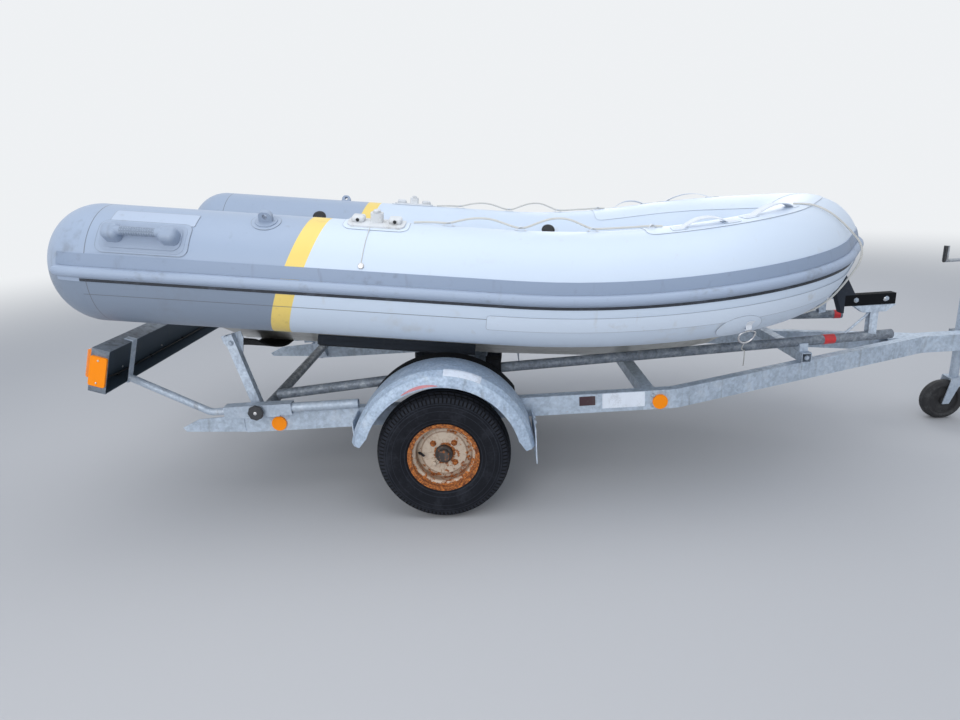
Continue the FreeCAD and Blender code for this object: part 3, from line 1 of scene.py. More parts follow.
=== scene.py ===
import json
import math

import bpy
from mathutils import Matrix, Vector

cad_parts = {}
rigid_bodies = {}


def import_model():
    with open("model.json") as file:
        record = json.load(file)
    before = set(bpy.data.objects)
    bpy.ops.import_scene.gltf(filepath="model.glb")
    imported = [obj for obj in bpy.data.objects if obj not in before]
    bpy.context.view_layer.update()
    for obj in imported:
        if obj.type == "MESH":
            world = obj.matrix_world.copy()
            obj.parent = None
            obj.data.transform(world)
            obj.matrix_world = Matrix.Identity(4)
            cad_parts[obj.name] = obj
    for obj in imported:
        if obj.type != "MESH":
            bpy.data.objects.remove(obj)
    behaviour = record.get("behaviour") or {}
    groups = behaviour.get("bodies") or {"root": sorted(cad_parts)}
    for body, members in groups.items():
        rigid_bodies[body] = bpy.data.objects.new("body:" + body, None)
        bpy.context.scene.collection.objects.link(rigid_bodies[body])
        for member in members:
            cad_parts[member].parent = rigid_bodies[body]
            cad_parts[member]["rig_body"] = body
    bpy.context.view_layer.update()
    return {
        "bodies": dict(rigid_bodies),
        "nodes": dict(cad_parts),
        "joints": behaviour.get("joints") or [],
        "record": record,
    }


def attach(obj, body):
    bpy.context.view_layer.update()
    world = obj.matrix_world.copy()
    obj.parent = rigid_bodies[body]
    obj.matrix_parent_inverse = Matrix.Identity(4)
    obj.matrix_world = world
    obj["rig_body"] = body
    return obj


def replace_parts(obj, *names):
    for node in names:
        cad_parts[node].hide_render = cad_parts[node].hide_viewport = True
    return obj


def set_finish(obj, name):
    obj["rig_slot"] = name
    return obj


# A small rigid-hulled inflatable boat parked on its galvanised single-axle trailer.
# Metres, in the model's frame: X forward to the bow, Y to port, Z up, the ground at Z 0.
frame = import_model()


# Studio: a pale floor that runs out into a pale backdrop, one broad lamp overhead, a
# softer one on the camera's side, and an even sky.
FLOOR_COLOUR = (0.52, 0.52, 0.53, 1)
BACKDROP_COLOUR = (0.86, 0.88, 0.90, 1)
SKY_COLOUR = (0.80, 0.88, 1.0, 1)
SKY_STRENGTH = 0.66
FLOOR_HALF = 60.0
FADE_FROM = 4.2
FADE_TO = 11.0


def put(kind, values, tree=None, **settings):
    """Adds a shader node to the tree that its values come from, or else to the one given. A
    value is a number, a colour or the socket that feeds it."""
    sockets = [value for value in values.values() if isinstance(value, bpy.types.NodeSocket)]
    if sockets:
        tree = sockets[0].id_data
    made = tree.nodes.new("ShaderNode" + kind)
    for name, setting in settings.items():
        setattr(made, name, setting)
    for name, value in values.items():
        if isinstance(value, bpy.types.NodeSocket):
            tree.links.new(value, made.inputs[name])
        else:
            made.inputs[name].default_value = value
    return made


def calc(operation, first, second=0.0):
    return put("Math", {0: first, 1: second}, operation=operation).outputs[0]


def most(first, second):
    return calc("MAXIMUM", first, second)


def ramp(value, start, end):
    """0 below start, 1 above end, smooth between them; start may be the higher one."""
    return put("MapRange", {"Value": value, "From Min": start, "From Max": end},
               interpolation_type="SMOOTHSTEP").outputs[0]


def new_finish(name, colour, roughness, metallic=0.0, specular=0.5, coat=0.0, sheen=0.0, glow=0.0):
    """Material with a Principled shader: returns it and the place on the object."""
    finish = bpy.data.materials.new(name)
    finish.use_nodes = True
    inputs = finish.node_tree.nodes["Principled BSDF"].inputs
    for label, value in (("Base Color", colour), ("Roughness", roughness), ("Metallic", metallic),
                         ("Specular IOR Level", specular), ("Coat Weight", coat),
                         ("Sheen Weight", sheen), ("Emission Strength", glow)):
        inputs[label].default_value = value
    return finish, put("TexCoord", {}, finish.node_tree).outputs["Object"]


def link(thing):
    bpy.context.scene.collection.objects.link(thing)


floor_finish, place = new_finish("studio_floor", FLOOR_COLOUR, 0.9)
tree = floor_finish.node_tree
away = put("VectorMath", {0: place}, operation="LENGTH").outputs["Value"]
glow = put("Emission", {"Color": BACKDROP_COLOUR, "Strength": 1.0}, tree)
fade = put("MixShader", {0: ramp(away, FADE_FROM, FADE_TO), 1: tree.nodes["Principled BSDF"].outputs[0],
                         2: glow.outputs[0]})
tree.links.new(fade.outputs[0], tree.nodes["Material Output"].inputs["Surface"])
bpy.ops.object.select_all(action="DESELECT")
bpy.ops.mesh.primitive_plane_add(size=2 * FLOOR_HALF)
floor = bpy.context.object
floor.name = "studio_floor"
floor.data.materials.append(floor_finish)

world = bpy.data.worlds.new("studio_sky")
bpy.context.scene.world = world
world.use_nodes = True
tree = world.node_tree
sky = tree.nodes["Background"]
sky.inputs["Color"].default_value = SKY_COLOUR
sky.inputs["Strength"].default_value = SKY_STRENGTH
seen = put("Background", {"Color": BACKDROP_COLOUR, "Strength": 1.0}, tree)
rays = put("LightPath", {}, tree).outputs
sky_mix = put("MixShader", {0: most(rays["Is Camera Ray"], rays["Is Glossy Ray"]), 1: sky.outputs[0],
                            2: seen.outputs[0]})
tree.links.new(sky_mix.outputs[0], tree.nodes["World Output"].inputs["Surface"])

LAMPS = [
    # name, place, size, power
    ("overhead_lamp", (-0.6, -0.8, 4.6), 4.2, 84),
    ("front_lamp", (-2.2, -5.2, 2.4), 3.4, 105),
    ("back_lamp", (1.6, 4.4, 3.2), 3.0, 50),
]
for lamp_name, lamp_place, lamp_size, power in LAMPS:
    light = bpy.data.lights.new(lamp_name, "AREA")
    light.size = lamp_size
    light.energy = power
    lamp_object = bpy.data.objects.new(lamp_name, light)
    link(lamp_object)
    aim = (Vector((0, 0, 0.6)) - Vector(lamp_place)).to_track_quat("-Z", "Y")
    lamp_object.matrix_world = Matrix.Translation(lamp_place) @ aim.to_matrix().to_4x4()

# The photograph's view: a wide lens at a standing person's eye height, tipped down and
# a little to one side.
CAMERA_PLACE = (-0.5514, -2.9042, 1.2986)
CAMERA_DOWN = math.radians(16.79)
CAMERA_TURN = math.radians(1.165)
CAMERA_ROLL = math.radians(2.59)
camera_data = bpy.data.cameras.new("photo_view")
camera_data.sensor_width = 36.0
camera_data.lens = 23.41
camera = bpy.data.objects.new("photo_view", camera_data)
link(camera)
camera.matrix_world = (Matrix.Translation(CAMERA_PLACE) @ Matrix.Rotation(CAMERA_TURN, 4, "Z")
                       @ Matrix.Rotation(math.pi / 2 - CAMERA_DOWN, 4, "X")
                       @ Matrix.Rotation(-CAMERA_ROLL, 4, "Z"))
bpy.context.scene.camera = camera
bpy.context.scene.view_settings.view_transform = "Standard"


# How the boat and the trailer lie. The tube's middle line starts at the right stern and
# runs forward: moves are (kind, length or radius, angle).
def moved(*place):
    return Matrix.Translation(place)


def rotated(angle, axis):
    return Matrix.Rotation(math.radians(angle), 4, axis)


BOAT_LIE = moved(-1.9496, 0, 1.0305) @ rotated(6.1, "Y")
AXLE_X = -0.7516
WHEEL_R = 0.260
TRAILER_LIE = moved(AXLE_X, 0, WHEEL_R) @ rotated(-1.2, "Y") @ moved(0, 0, -WHEEL_R)
TUBE_R = 0.2155
TUBE_Y = 0.575
CHEEK = 0.23014
CONE_TURN_X = -0.01146
CONE_TURN_Y = -0.04462
CONE_TURN_R = 0.17126
MIDDLE_LINE = [("run", 1.475, 0), ("up", 3.600, 11.3), ("left", 0.550, 55), ("run", CHEEK, 0),
               ("left", 0.265, 70), ("run", CHEEK, 0), ("left", 0.550, 55), ("up", 3.600, 11.3),
               ("run", 1.475, 0)]


def middle_line(distance):
    """Matrix on the tube's middle line, in the boat's own frame. Before the start it turns
    round the stern cone's side."""
    place = moved(0, -TUBE_Y, 0)
    if distance < 0:
        centre = moved(CONE_TURN_X, CONE_TURN_Y - TUBE_Y, 0)
        return centre @ Matrix.Rotation(-distance / CONE_TURN_R, 4, "Z") @ centre.inverted() @ place
    for kind, size, turn in MIDDLE_LINE:
        length = size if kind == "run" else size * math.radians(turn)
        part = min(distance, length)
        if kind == "run":
            place = place @ moved(part, 0, 0)
        else:
            centre, axis, sign = (0, 0, size), "Y", -1
            if kind == "left":
                centre, axis, sign = (0, size, 0), "Z", 1
            back = tuple(-value for value in centre)
            place = (place @ Matrix.Translation(centre) @ Matrix.Rotation(sign * part / size, 4, axis)
                     @ Matrix.Translation(back))
        distance -= part
        if distance <= 0:
            break
    return place


def on_tube(distance, angle, height=0.0):
    """Matrix on the tube's skin: X runs along it and Z points out of it. The angle is in
    degrees up from the outer equator."""
    return BOAT_LIE @ middle_line(distance) @ rotated(90 - angle, "X") @ moved(0, 0, TUBE_R + height)


# Ropes: a braided white lifeline on top of each tube, held by webbing tabs, and the bow
# painter that lies round the nose. 8 mm polyester, stiff with age and standing in arches.
ROPE_COLOUR = (0.72, 0.71, 0.67, 1)
ROPE_D = 0.008
LIFELINE = [
    # distance along the tube, angle, height of the rope's middle over the skin
    (1.115, 91, 0.0045),
    (1.160, 92, 0.008),
    (1.200, 91, 0.010),
    (1.243, 90, 0.009),
    (1.290, 91, 0.024),
    (1.345, 92, 0.035),
    (1.400, 92, 0.034),
    (1.450, 91, 0.020),
    (1.490, 90, 0.009),
    (1.528, 90, 0.010),
    (1.575, 91, 0.030),
    (1.630, 92, 0.048),
    (1.690, 92, 0.048),
    (1.742, 91, 0.028),
    (1.785, 90, 0.009),
    (1.840, 91, 0.009),
    (1.900, 90, 0.010),
    (1.960, 91, 0.009),
    (2.015, 90, 0.010),
    (2.060, 89, 0.0045),
]
PAINTER = [(2.665, 84, 0.0045), (2.690, 74, 0.008), (2.697, 60, 0.010), (2.703, 46, 0.010),
           (2.725, 32, 0.010), (2.752, 19, 0.018), (2.768, 7, 0.034), (2.768, -6, 0.034),
           (2.748, -19, 0.018), (2.718, -32, 0.010), (2.685, -46, 0.010), (2.655, -60, 0.010),
           (2.640, -72, 0.008), (2.635, -82, 0.0045)]
TRAILER = "boat_and_trailer"
PORT = Matrix.Diagonal((1, -1, 1, 1))
SIDES = (Matrix.Identity(4), PORT)


def times(first, second):
    return calc("MULTIPLY", first, second)


def tint(mask, under, over):
    """Colour over another where the mask is 1."""
    return put("Mix", {0: mask, 6: under, 7: over}, data_type="RGBA").outputs[2]


def speckle(place, scale, detail=4.0, roughness=0.55):
    return put("TexNoise", {"Vector": place, "Scale": scale, "Detail": detail,
                            "Roughness": roughness}).outputs[0]


def feed(socket, name):
    """Links a socket to the shader of its own material."""
    tree = socket.id_data
    tree.links.new(socket, tree.nodes["Principled BSDF"].inputs[name])


def bump(height, distance, strength=1.0):
    """Height in 0 to 1 raises the surface by up to the distance."""
    feed(put("Bump", {"Height": height, "Distance": distance, "Strength": strength}).outputs[0],
         "Normal")


rope_finish, place = new_finish("braided_rope", ROPE_COLOUR, 0.85)
braid = put("TexWave", {"Vector": place, "Scale": 95.0, "Distortion": 1.5},
            bands_direction="DIAGONAL").outputs["Fac"]
feed(tint(times(speckle(place, 38.0), braid), ROPE_COLOUR, (0.47, 0.46, 0.43, 1)), "Base Color")
bump(braid, 0.0009)


def nurbs(name, lines, radius, resolution, roundness):
    """Round curve through the points of each line."""
    curve = bpy.data.curves.new(name, "CURVE")
    curve.dimensions = "3D"
    curve.resolution_u = resolution
    curve.bevel_depth = radius
    curve.bevel_resolution = roundness
    curve.use_fill_caps = True
    for points in lines:
        spline = curve.splines.new("NURBS")
        spline.points.add(len(points) - 1)
        for spot, point in zip(spline.points, points):
            spot.co = (*point, 1.0)
        spline.order_u = 3
        spline.use_endpoint_u = True
    piece = bpy.data.objects.new(name, curve)
    link(piece)
    return piece


def rope(name, rows, side):
    """Rope through the route's points on the tube."""
    points = [side @ on_tube(*row).translation for row in rows]
    piece = nurbs(name, [points], ROPE_D / 2, 10, 3)
    piece.data.materials.append(rope_finish)
    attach(piece, TRAILER)
    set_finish(piece, "cord_white")
    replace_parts(piece, "ropes")


rope("lifeline_right", LIFELINE, SIDES[0])
rope("lifeline_left", LIFELINE, PORT)
rope("painter", PAINTER, SIDES[0])


# Buoyancy tube and its stern cones: reinforced PVC cloth glued into one air-tight skin,
# grey aft and white forward, with a yellow band glued round where the colours meet.
TUBE_WHITE = (0.625, 0.715, 0.835, 1)
TUBE_GREY = (0.335, 0.41, 0.535, 1)
LOW_GREY = (0.225, 0.275, 0.355, 1)
BAND_YELLOW = (0.86, 0.64, 0.17, 1)
SEAM_GREY = (0.13, 0.14, 0.16, 1)
BAND_MIDDLE = 0.7135
BAND_HALF = 0.033
BAND_LEAN = -0.326
SEAM_HALF = 0.0009


def plus(first, second):
    return calc("ADD", first, second)


def minus(first, second):
    return calc("SUBTRACT", first, second)


def wave(place, scale, direction="X"):
    return put("TexWave", {"Vector": place, "Scale": scale}, bands_direction=direction).outputs["Fac"]


def new_group(name, takes, gives):
    """Shader group: returns it with its own inputs and outputs by name."""
    group = bpy.data.node_groups.new(name, "ShaderNodeTree")
    for label, kind, value in takes:
        socket = group.interface.new_socket(label, in_out="INPUT", socket_type="NodeSocket" + kind)
        if value is not None:
            socket.default_value = value
    for label, kind in gives:
        group.interface.new_socket(label, in_out="OUTPUT", socket_type="NodeSocket" + kind)
    return group, group.nodes.new("NodeGroupInput").outputs, group.nodes.new("NodeGroupOutput").inputs


# Grime: patches of dirt that gather in blotches with a fine grain in them.
GRIME, takes, gives = new_group("Grime", [("Place", "Vector", None), ("Scale", "Float", 3.0),
                                          ("Amount", "Float", 0.3)], [("Mask", "Float")])
broad = speckle(takes["Place"], takes["Scale"], 5.0, 0.65)
fine = speckle(takes["Place"], times(takes["Scale"], 9.0), 3.0, 0.5)
both = plus(times(broad, 0.7), times(fine, 0.3))
start = minus(0.66, times(takes["Amount"], 0.36))
GRIME.links.new(ramp(both, start, plus(start, 0.16)), gives["Mask"])

# Streaks: marks that run down the surface, drawn out along Z.
STREAKS, takes, gives = new_group("Streaks", [("Place", "Vector", None), ("Scale", "Float", 30.0),
                                              ("Amount", "Float", 0.3)], [("Mask", "Float")])
drawn = put("VectorMath", {0: takes["Place"], 1: (1.0, 1.0, 0.12)}, operation="MULTIPLY").outputs[0]
run = speckle(drawn, takes["Scale"], 4.0, 0.5)
start = minus(0.70, times(takes["Amount"], 0.3))
STREAKS.links.new(ramp(run, start, plus(start, 0.18)), gives["Mask"])

# Line: 1 in a stripe of that half width round a value, with a sharp edge.
LINE, takes, gives = new_group("Line", [("Value", "Float", 0.0), ("At", "Float", 0.0),
                                        ("Half", "Float", 0.001), ("Edge", "Float", 0.0006)],
                               [("Mask", "Float")])
off = calc("ABSOLUTE", minus(takes["Value"], takes["At"]))
LINE.links.new(ramp(off, plus(takes["Half"], takes["Edge"]), takes["Half"]), gives["Mask"])

# Cloth: the fine square weave that shows through a coated cloth.
CLOTH, takes, gives = new_group("Cloth", [("Place", "Vector", None), ("Threads", "Float", 450.0)],
                                [("Height", "Float")])
weave = [wave(takes["Place"], takes["Threads"], direction) for direction in "XYZ"]
cross = times(plus(weave[0], weave[1]), plus(weave[2], weave[0]))
CLOTH.links.new(times(cross, 0.25), gives["Height"])


def group(kind, values):
    return put("Group", values, node_tree=kind).outputs[0]


def stripes(value, *rows):
    """1 in stripes round a value; a row is the stripe's middle, half width and edge."""
    mask = None
    for at, half, *edge in rows:
        values = {"Value": value, "At": at, "Half": half}
        if edge:
            values["Edge"] = edge[0]
        stripe = group(LINE, values)
        mask = stripe if mask is None else most(mask, stripe)
    return mask


def axes_of(place):
    """A place's X, Y and Z, by name."""
    return put("SeparateXYZ", {0: place}).outputs


def in_frame(place, frame):
    """A place as seen from a frame that is turned and moved."""
    return put("Mapping", {"Vector": place, "Location": frame.translation,
                           "Rotation": frame.to_euler()}, vector_type="TEXTURE").outputs[0]


def pvc(name):
    """Coated cloth: fine weave, wear marks and a soft shine."""
    finish, place = new_finish(name, TUBE_GREY, 0.42, specular=0.42, sheen=0.06)
    cloth = group(CLOTH, {"Place": place, "Threads": 260.0})
    bump(plus(times(cloth, 0.08), speckle(place, 5.0, 2.0)), 0.0022, 0.55)
    return finish, place


def soiled(place, colour, amount, scale, dirt):
    """Colour with blotches of dirt and run marks on it."""
    mask = group(GRIME, {"Place": place, "Scale": scale, "Amount": amount})
    runs = group(STREAKS, {"Place": place, "Scale": 26.0, "Amount": amount})
    return tint(times(most(mask, times(runs, 0.6)), 0.5), colour, dirt)


tube_finish, place = pvc("tube_pvc")
boat = axes_of(in_frame(place, BOAT_LIE))
lean = plus(boat["X"], times(boat["Z"], BAND_LEAN))
forward = ramp(lean, BAND_MIDDLE, BAND_MIDDLE + 0.001)
in_band = stripes(lean, (BAND_MIDDLE, BAND_HALF))
white = tint(speckle(place, 1.4, 2.0), TUBE_WHITE, (0.59, 0.68, 0.80, 1))
white = soiled(place, white, 0.20, 2.2, (0.50, 0.49, 0.46, 1))
outboard = minus(calc("ABSOLUTE", boat["Y"]), TUBE_Y)
turn = calc("ARCTAN2", boat["Z"], outboard)
below = ramp(turn, math.radians(-3), math.radians(-5))
grey = soiled(place, tint(below, TUBE_GREY, LOW_GREY), 0.25, 2.6, (0.20, 0.22, 0.26, 1))
skin = tint(forward, grey, white)
skin = tint(in_band, skin, soiled(place, BAND_YELLOW, 0.3, 6.0, (0.50, 0.36, 0.12, 1)))
straight_part = ramp(boat["X"], 1.478, 1.474)
seam = stripes(turn, (math.radians(-21.6), SEAM_HALF / TUBE_R, 0.004))
seam = times(seam, straight_part)
joint = stripes(boat["X"], (0.021, SEAM_HALF, 0.001))
seam = times(most(seam, joint), 0.85)
feed(tint(seam, skin, SEAM_GREY), "Base Color")

cone_finish, place = pvc("cone_pvc")
boat = axes_of(in_frame(place, BOAT_LIE))
outboard = minus(calc("ABSOLUTE", boat["Y"]), TUBE_Y)
below = ramp(calc("ARCTAN2", boat["Z"], outboard), math.radians(-3), math.radians(-5))
cone_grey = soiled(place, tint(below, TUBE_GREY, LOW_GREY), 0.35, 4.0, (0.20, 0.22, 0.26, 1))
feed(cone_grey, "Base Color")
nodes = frame["nodes"]


def dress(finish, *names):
    """Gives model nodes a finish."""
    for name in names:
        mesh = nodes[name].data
        mesh.materials.clear()
        mesh.materials.append(finish)
        mesh.polygons.foreach_set("material_index", [0] * len(mesh.polygons))


dress(tube_finish, "buoyancy_tube")
dress(cone_finish, "stern_cones")


# Strake: an extruded rubber bead on a flat strip, glued round the tube at its widest, with
# a darker flat band above it, a black glue line under it and a moulded cap on the nose. The
# black line under the bead is partly glue and partly the bead's painted shadow.
def worn_finish(name, colour, roughness, amount, scale, dirt, grain, depth, strength=1.0, **shine):
    """Material of one soiled colour with a fine grain in it."""
    finish, place = new_finish(name, colour, roughness, **shine)
    feed(soiled(place, colour, amount, scale, dirt), "Base Color")
    bump(speckle(place, grain), depth, strength)
    return finish


bead_finish = worn_finish("strake_rubber", (0.335, 0.405, 0.525, 1), 0.5, 0.35, 5.0,
                          (0.16, 0.17, 0.19, 1), 60.0, 0.0006, 0.5)
band_finish = worn_finish("strake_band_pvc", (0.255, 0.32, 0.435, 1), 0.55, 0.3, 4.0,
                          (0.12, 0.13, 0.15, 1), 45.0, 0.0005, 0.5)
cap_finish, place = new_finish("nose_cap_rubber", (0.86, 0.85, 0.87, 1), 0.45)
feed(soiled(place, (0.86, 0.85, 0.87, 1), 0.3, 20.0, (0.40, 0.38, 0.35, 1)), "Base Color")

dress(bead_finish, "rub_strake")
dress(band_finish, "strake_band")
dress(cap_finish, "nose_cap")


# Sheets glued on the tube: seam tapes, the blank patch over the handle, the big patch that
# covers the bow's joints and the patches under the fittings. A dark glue line edges each.
def choose(piece):
    bpy.ops.object.select_all(action="DESELECT")
    piece.select_set(True)
    bpy.context.view_layer.objects.active = piece


def apply_all(piece):
    choose(piece)
    for modifier in list(piece.modifiers):
        bpy.ops.object.modifier_apply(modifier=modifier.name)


def finished(piece, name, finish, slot, body=TRAILER, place=None, smooth=35):
    """Names a new piece, puts its place in its mesh, dresses it and fixes it to its body."""
    apply_all(piece)
    bpy.ops.object.transform_apply(location=True, rotation=True, scale=True)
    if place is not None:
        piece.data.transform(place)
        if place.determinant() < 0:
            piece.data.flip_normals()
    piece.name = name
    piece.data.name = name
    piece.data.materials.clear()
    piece.data.materials.append(finish)
    bpy.ops.object.shade_smooth_by_angle(angle=math.radians(smooth))
    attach(piece, body)
    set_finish(piece, slot)
    return piece


def grid(across, along):
    """Flat sheet of quads, one metre square."""
    bpy.ops.object.select_all(action="DESELECT")
    bpy.ops.mesh.primitive_grid_add(x_subdivisions=across, y_subdivisions=along, size=1)
    return bpy.context.object


def thicken(piece, thickness, offset=1.0):
    solid = piece.modifiers.new("thickness", "SOLIDIFY")
    solid.thickness = thickness
    solid.offset = offset


def glued_sheet(name, first, last, low, high, corner, finish, slot, height=0.0009, thick=0.0011):
    """Sheet that follows the right-hand tube between two distances and two angles."""
    length = last - first
    width = math.radians(high - low) * TUBE_R
    sheet = grid(max(8, round(length / 0.014)), max(5, round(width / 0.010)))
    edge_map = sheet.data.uv_layers.active.data
    borders = []
    lines = {}
    for vertex in sheet.data.vertices:
        along = (vertex.co.x + 0.5) * length
        across = (vertex.co.y + 0.5) * width
        near = [min(along, length - along), min(across, width - across)]
        borders.append(tuple(near))
        if max(near) < corner:
            p, q = 1 - near[0] / corner, 1 - near[1] / corner
            near = [corner - corner * p * math.sqrt(1 - q * q / 2),
                    corner - corner * q * math.sqrt(1 - p * p / 2)]
            along = near[0] if along < length / 2 else length - near[0]
            across = near[1] if across < width / 2 else width - near[1]
        key = round(along, 6)
        if key not in lines:
            lines[key] = BOAT_LIE @ middle_line(first + along)
        turned = Matrix.Rotation(math.radians(90 - low) - across / TUBE_R, 4, "X")
        vertex.co = lines[key] @ turned @ Vector((0, 0, TUBE_R + height))
    for loop in sheet.data.loops:
        edge_map[loop.index].uv = borders[loop.vertex_index]
    thicken(sheet, thick)
    return finished(sheet, name, finish, slot)


def port_copy(piece, name):
    """The same piece on the port side."""
    copy = piece.copy()
    copy.data = piece.data.copy()
    copy.parent = None
    copy.matrix_world = Matrix.Identity(4)
    link(copy)
    return finished(copy, name, piece.data.materials[0], piece["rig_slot"], piece["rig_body"], PORT)


def around(at, half, angle, arc):
    """A sheet's distances and angles, from its middle."""
    return at - half, at + half, angle - arc / 2, angle + arc / 2


def glued_pair(name, *shape):
    """A sheet on the right-hand tube and its twin to port."""
    port_copy(glued_sheet(name + "_right", *shape), name + "_left")


def sheet_finish(name, colour, dirt):
    """PVC sheet with a dark glue line along its border, read from the sheet's own map."""
    finish, place = pvc(name)
    edges = axes_of(place.node.outputs["UV"])
    border = calc("MINIMUM", edges["X"], edges["Y"])
    line = times(ramp(border, 0.0024, 0.0006), 0.55)
    feed(tint(line, soiled(place, colour, 0.25, 5.0, dirt), SEAM_GREY), "Base Color")
    return finish


STRIP_TOP = 0.0030
white_sheet = sheet_finish("white_sheet", (0.66, 0.745, 0.86, 1), (0.50, 0.49, 0.46, 1))
pale_sheet = sheet_finish("pale_sheet", (0.43, 0.505, 0.63, 1), (0.25, 0.26, 0.28, 1))
grey_sheet = sheet_finish("grey_sheet", (0.335, 0.405, 0.52, 1), (0.20, 0.21, 0.24, 1))
# Dark strip under the bead: the glue line and the bead's painted shadow in one sheet.
glue_and_shadow_finish = worn_finish("strake_glue_and_shadow", (0.020, 0.025, 0.035, 1), 0.6, 0.5, 9.0,
                          (0.085, 0.10, 0.13, 1), 70.0, 0.0005)
SHEETS = [
    # name, distances along the tube, angles, corner radius, finish, slot
    ("blank_patch", 0.080, 0.374, 50.5, 69.0, 0.006, pale_sheet, "tube_grey"),
    ("bow_patch", 1.985, 3.100, 68.5, 128.0, 0.030, white_sheet, "tube_white"),
    ("low_seam_tape", 1.400, 3.100, -34.0, -17.0, 0.010, white_sheet, "tube_white"),
    ("glue_and_shadow_line", -0.110, 3.105, -8.3, -5.6, 0.001, glue_and_shadow_finish, "rubber_black"),
]
for name, first, last, low, high, corner, finish, slot in SHEETS:
    lift = STRIP_TOP if name == "glue_and_shadow_line" else 0.0009
    glued_pair(name, first, last, low, high, corner, finish, slot, lift, 0.0008)


# Fittings on the stern tubes: a moulded handle on its pad, and a rubber lug with a hole.
# Both are grey rubber mouldings glued on with patches of their own.
HANDLE_AT, HANDLE_ANGLE = 0.212, 36.0
moulded_finish, place = new_finish("moulded_grey", (0.30, 0.36, 0.45, 1), 0.48)
starboard = axes_of(place)
folded = put("CombineXYZ", {0: starboard["X"], 1: times(calc("ABSOLUTE", starboard["Y"]), -1.0),
                            2: starboard["Z"]}).outputs[0]
handle = in_frame(folded, on_tube(HANDLE_AT, HANDLE_ANGLE))
handle_axes = axes_of(handle)
on_bar = times(ramp(calc("ABSOLUTE", handle_axes["X"]), 0.060, 0.057),
               ramp(handle_axes["Z"], 0.030, 0.034))
dots = times(wave(handle, 37.0), wave(handle, 37.0, "Y"))
ribs = times(dots, on_bar)
between = times(minus(on_bar, ribs), 0.45)
rubber = soiled(place, (0.30, 0.365, 0.475, 1), 0.3, 8.0, (0.16, 0.17, 0.19, 1))
feed(tint(between, rubber, (0.12, 0.15, 0.20, 1)), "Base Color")
bump(plus(ribs, times(speckle(place, 90.0), 0.15)), 0.0022)
dress(moulded_finish, "grab_handles", "ring_pads")
pad_finish = worn_finish("moulded_pad", (0.315, 0.38, 0.49, 1), 0.5, 0.3, 8.0, (0.18, 0.19, 0.21, 1),
                         60.0, 0.0006)
dress(pad_finish, "handle_patches")

# Raised rim round the handle's pad and the inner step that the moulding stands on.
for name, half, arc, rise, finish in (("handle_rim", 0.158, 34.0, 0.0008, grey_sheet),
                                      ("handle_step", 0.132, 24.0, 0.0042, pad_finish)):
    glued_pair(name, *around(HANDLE_AT, half, HANDLE_ANGLE, arc), 0.030, finish, "patch_grey", rise,
               0.0016)
glued_pair("ring_patch", *around(0.605, 0.052, 66.0, 27.0), 0.050, grey_sheet, "tube_grey", 0.0006,
           0.0012)


# Rowlock: a white moulded pad glued on top of each tube, with two humps that end the oar's
# clip, a block with the bore between them, a pin with a round knob in it, and a thin cord.
white_rubber = worn_finish("moulded_white", (0.66, 0.68, 0.70, 1), 0.5, 0.45, 14.0,
                           (0.36, 0.34, 0.31, 1), 80.0, 0.0007)
dress(white_rubber, "rowlock_pads")
steel_finish, place = new_finish("stainless", (0.62, 0.62, 0.63, 1), 0.28, 1.0)
feed(ramp(speckle(place, 70.0), 0.2, 0.9), "Roughness")
black_finish = worn_finish("black_plastic", (0.014, 0.015, 0.018, 1), 0.5, 0.4, 22.0,
                           (0.055, 0.056, 0.060, 1), 220.0, 0.0004, specular=0.3)
ROWLOCK_AT, ROWLOCK_ANGLE = 0.988, 79.0
ROWLOCK = on_tube(ROWLOCK_AT, ROWLOCK_ANGLE)
HUMP = (0.046, 0.050, 0.022)
HUMP_OFF = 0.066


def edit(piece):
    choose(piece)
    bpy.ops.object.mode_set(mode="EDIT")


def done_editing():
    bpy.ops.object.mode_set(mode="OBJECT")


def soften(piece, rounding, segments):
    """Rounds all the edges of a piece."""
    edit(piece)
    bpy.ops.mesh.select_all(action="SELECT")
    bpy.ops.mesh.bevel(offset=rounding, segments=segments, affect="EDGES")
    done_editing()


def rounded_block(size, rounding, segments=3):
    """Block with all its edges rounded, centred on the origin."""
    bpy.ops.object.select_all(action="DESELECT")
    bpy.ops.mesh.primitive_cube_add(size=1)
    block = bpy.context.object
    block.scale = size
    bpy.ops.object.transform_apply(location=True, rotation=True, scale=True)
    soften(block, rounding, segments)
    return block


def lathe(rows, segments=32):
    """Turned piece about Z: rows are (radius, z) from the bottom up."""
    bpy.ops.object.select_all(action="DESELECT")
    first = rows[0]
    bpy.ops.mesh.primitive_circle_add(vertices=segments, radius=first[0], location=(0, 0, first[1]),
                                      fill_type="NGON")
    piece = bpy.context.object
    bpy.ops.object.transform_apply(location=True, rotation=True, scale=True)
    edit(piece)
    bpy.ops.mesh.select_all(action="SELECT")
    for (radius, z), (wider, higher) in zip(rows, rows[1:]):
        bpy.ops.mesh.extrude_region_move(TRANSFORM_OT_translate={"value": (0, 0, higher - z)})
        scale = wider / radius
        bpy.ops.transform.resize(value=(scale, scale, 1), center_override=(0, 0, higher))
    bpy.ops.mesh.select_all(action="SELECT")
    bpy.ops.mesh.normals_make_consistent(inside=False)
    done_editing()
    return piece


def pair(place):
    """A place and its twin to port."""
    return [side @ place for side in SIDES]


def copies(model, name, places, finish, slot, body=TRAILER, smooth=35, keep=False):
    """One piece made of copies of a model, each at its own place. The model goes, or is kept
    for more."""
    made = []
    for place in places:
        copy = model.copy()
        copy.data = model.data.copy()
        link(copy)
        copy.data.transform(place)
        if place.determinant() < 0:
            copy.data.flip_normals()
        made.append(copy)
    bpy.ops.object.select_all(action="DESELECT")
    for copy in made:
        copy.select_set(True)
    bpy.context.view_layer.objects.active = made[0]
    if len(made) > 1:
        bpy.ops.object.join()
    finished(bpy.context.view_layer.objects.active, name, finish, slot, body, smooth=smooth)
    if not keep:
        discard(model)


def discard(model):
    bpy.data.objects.remove(model)


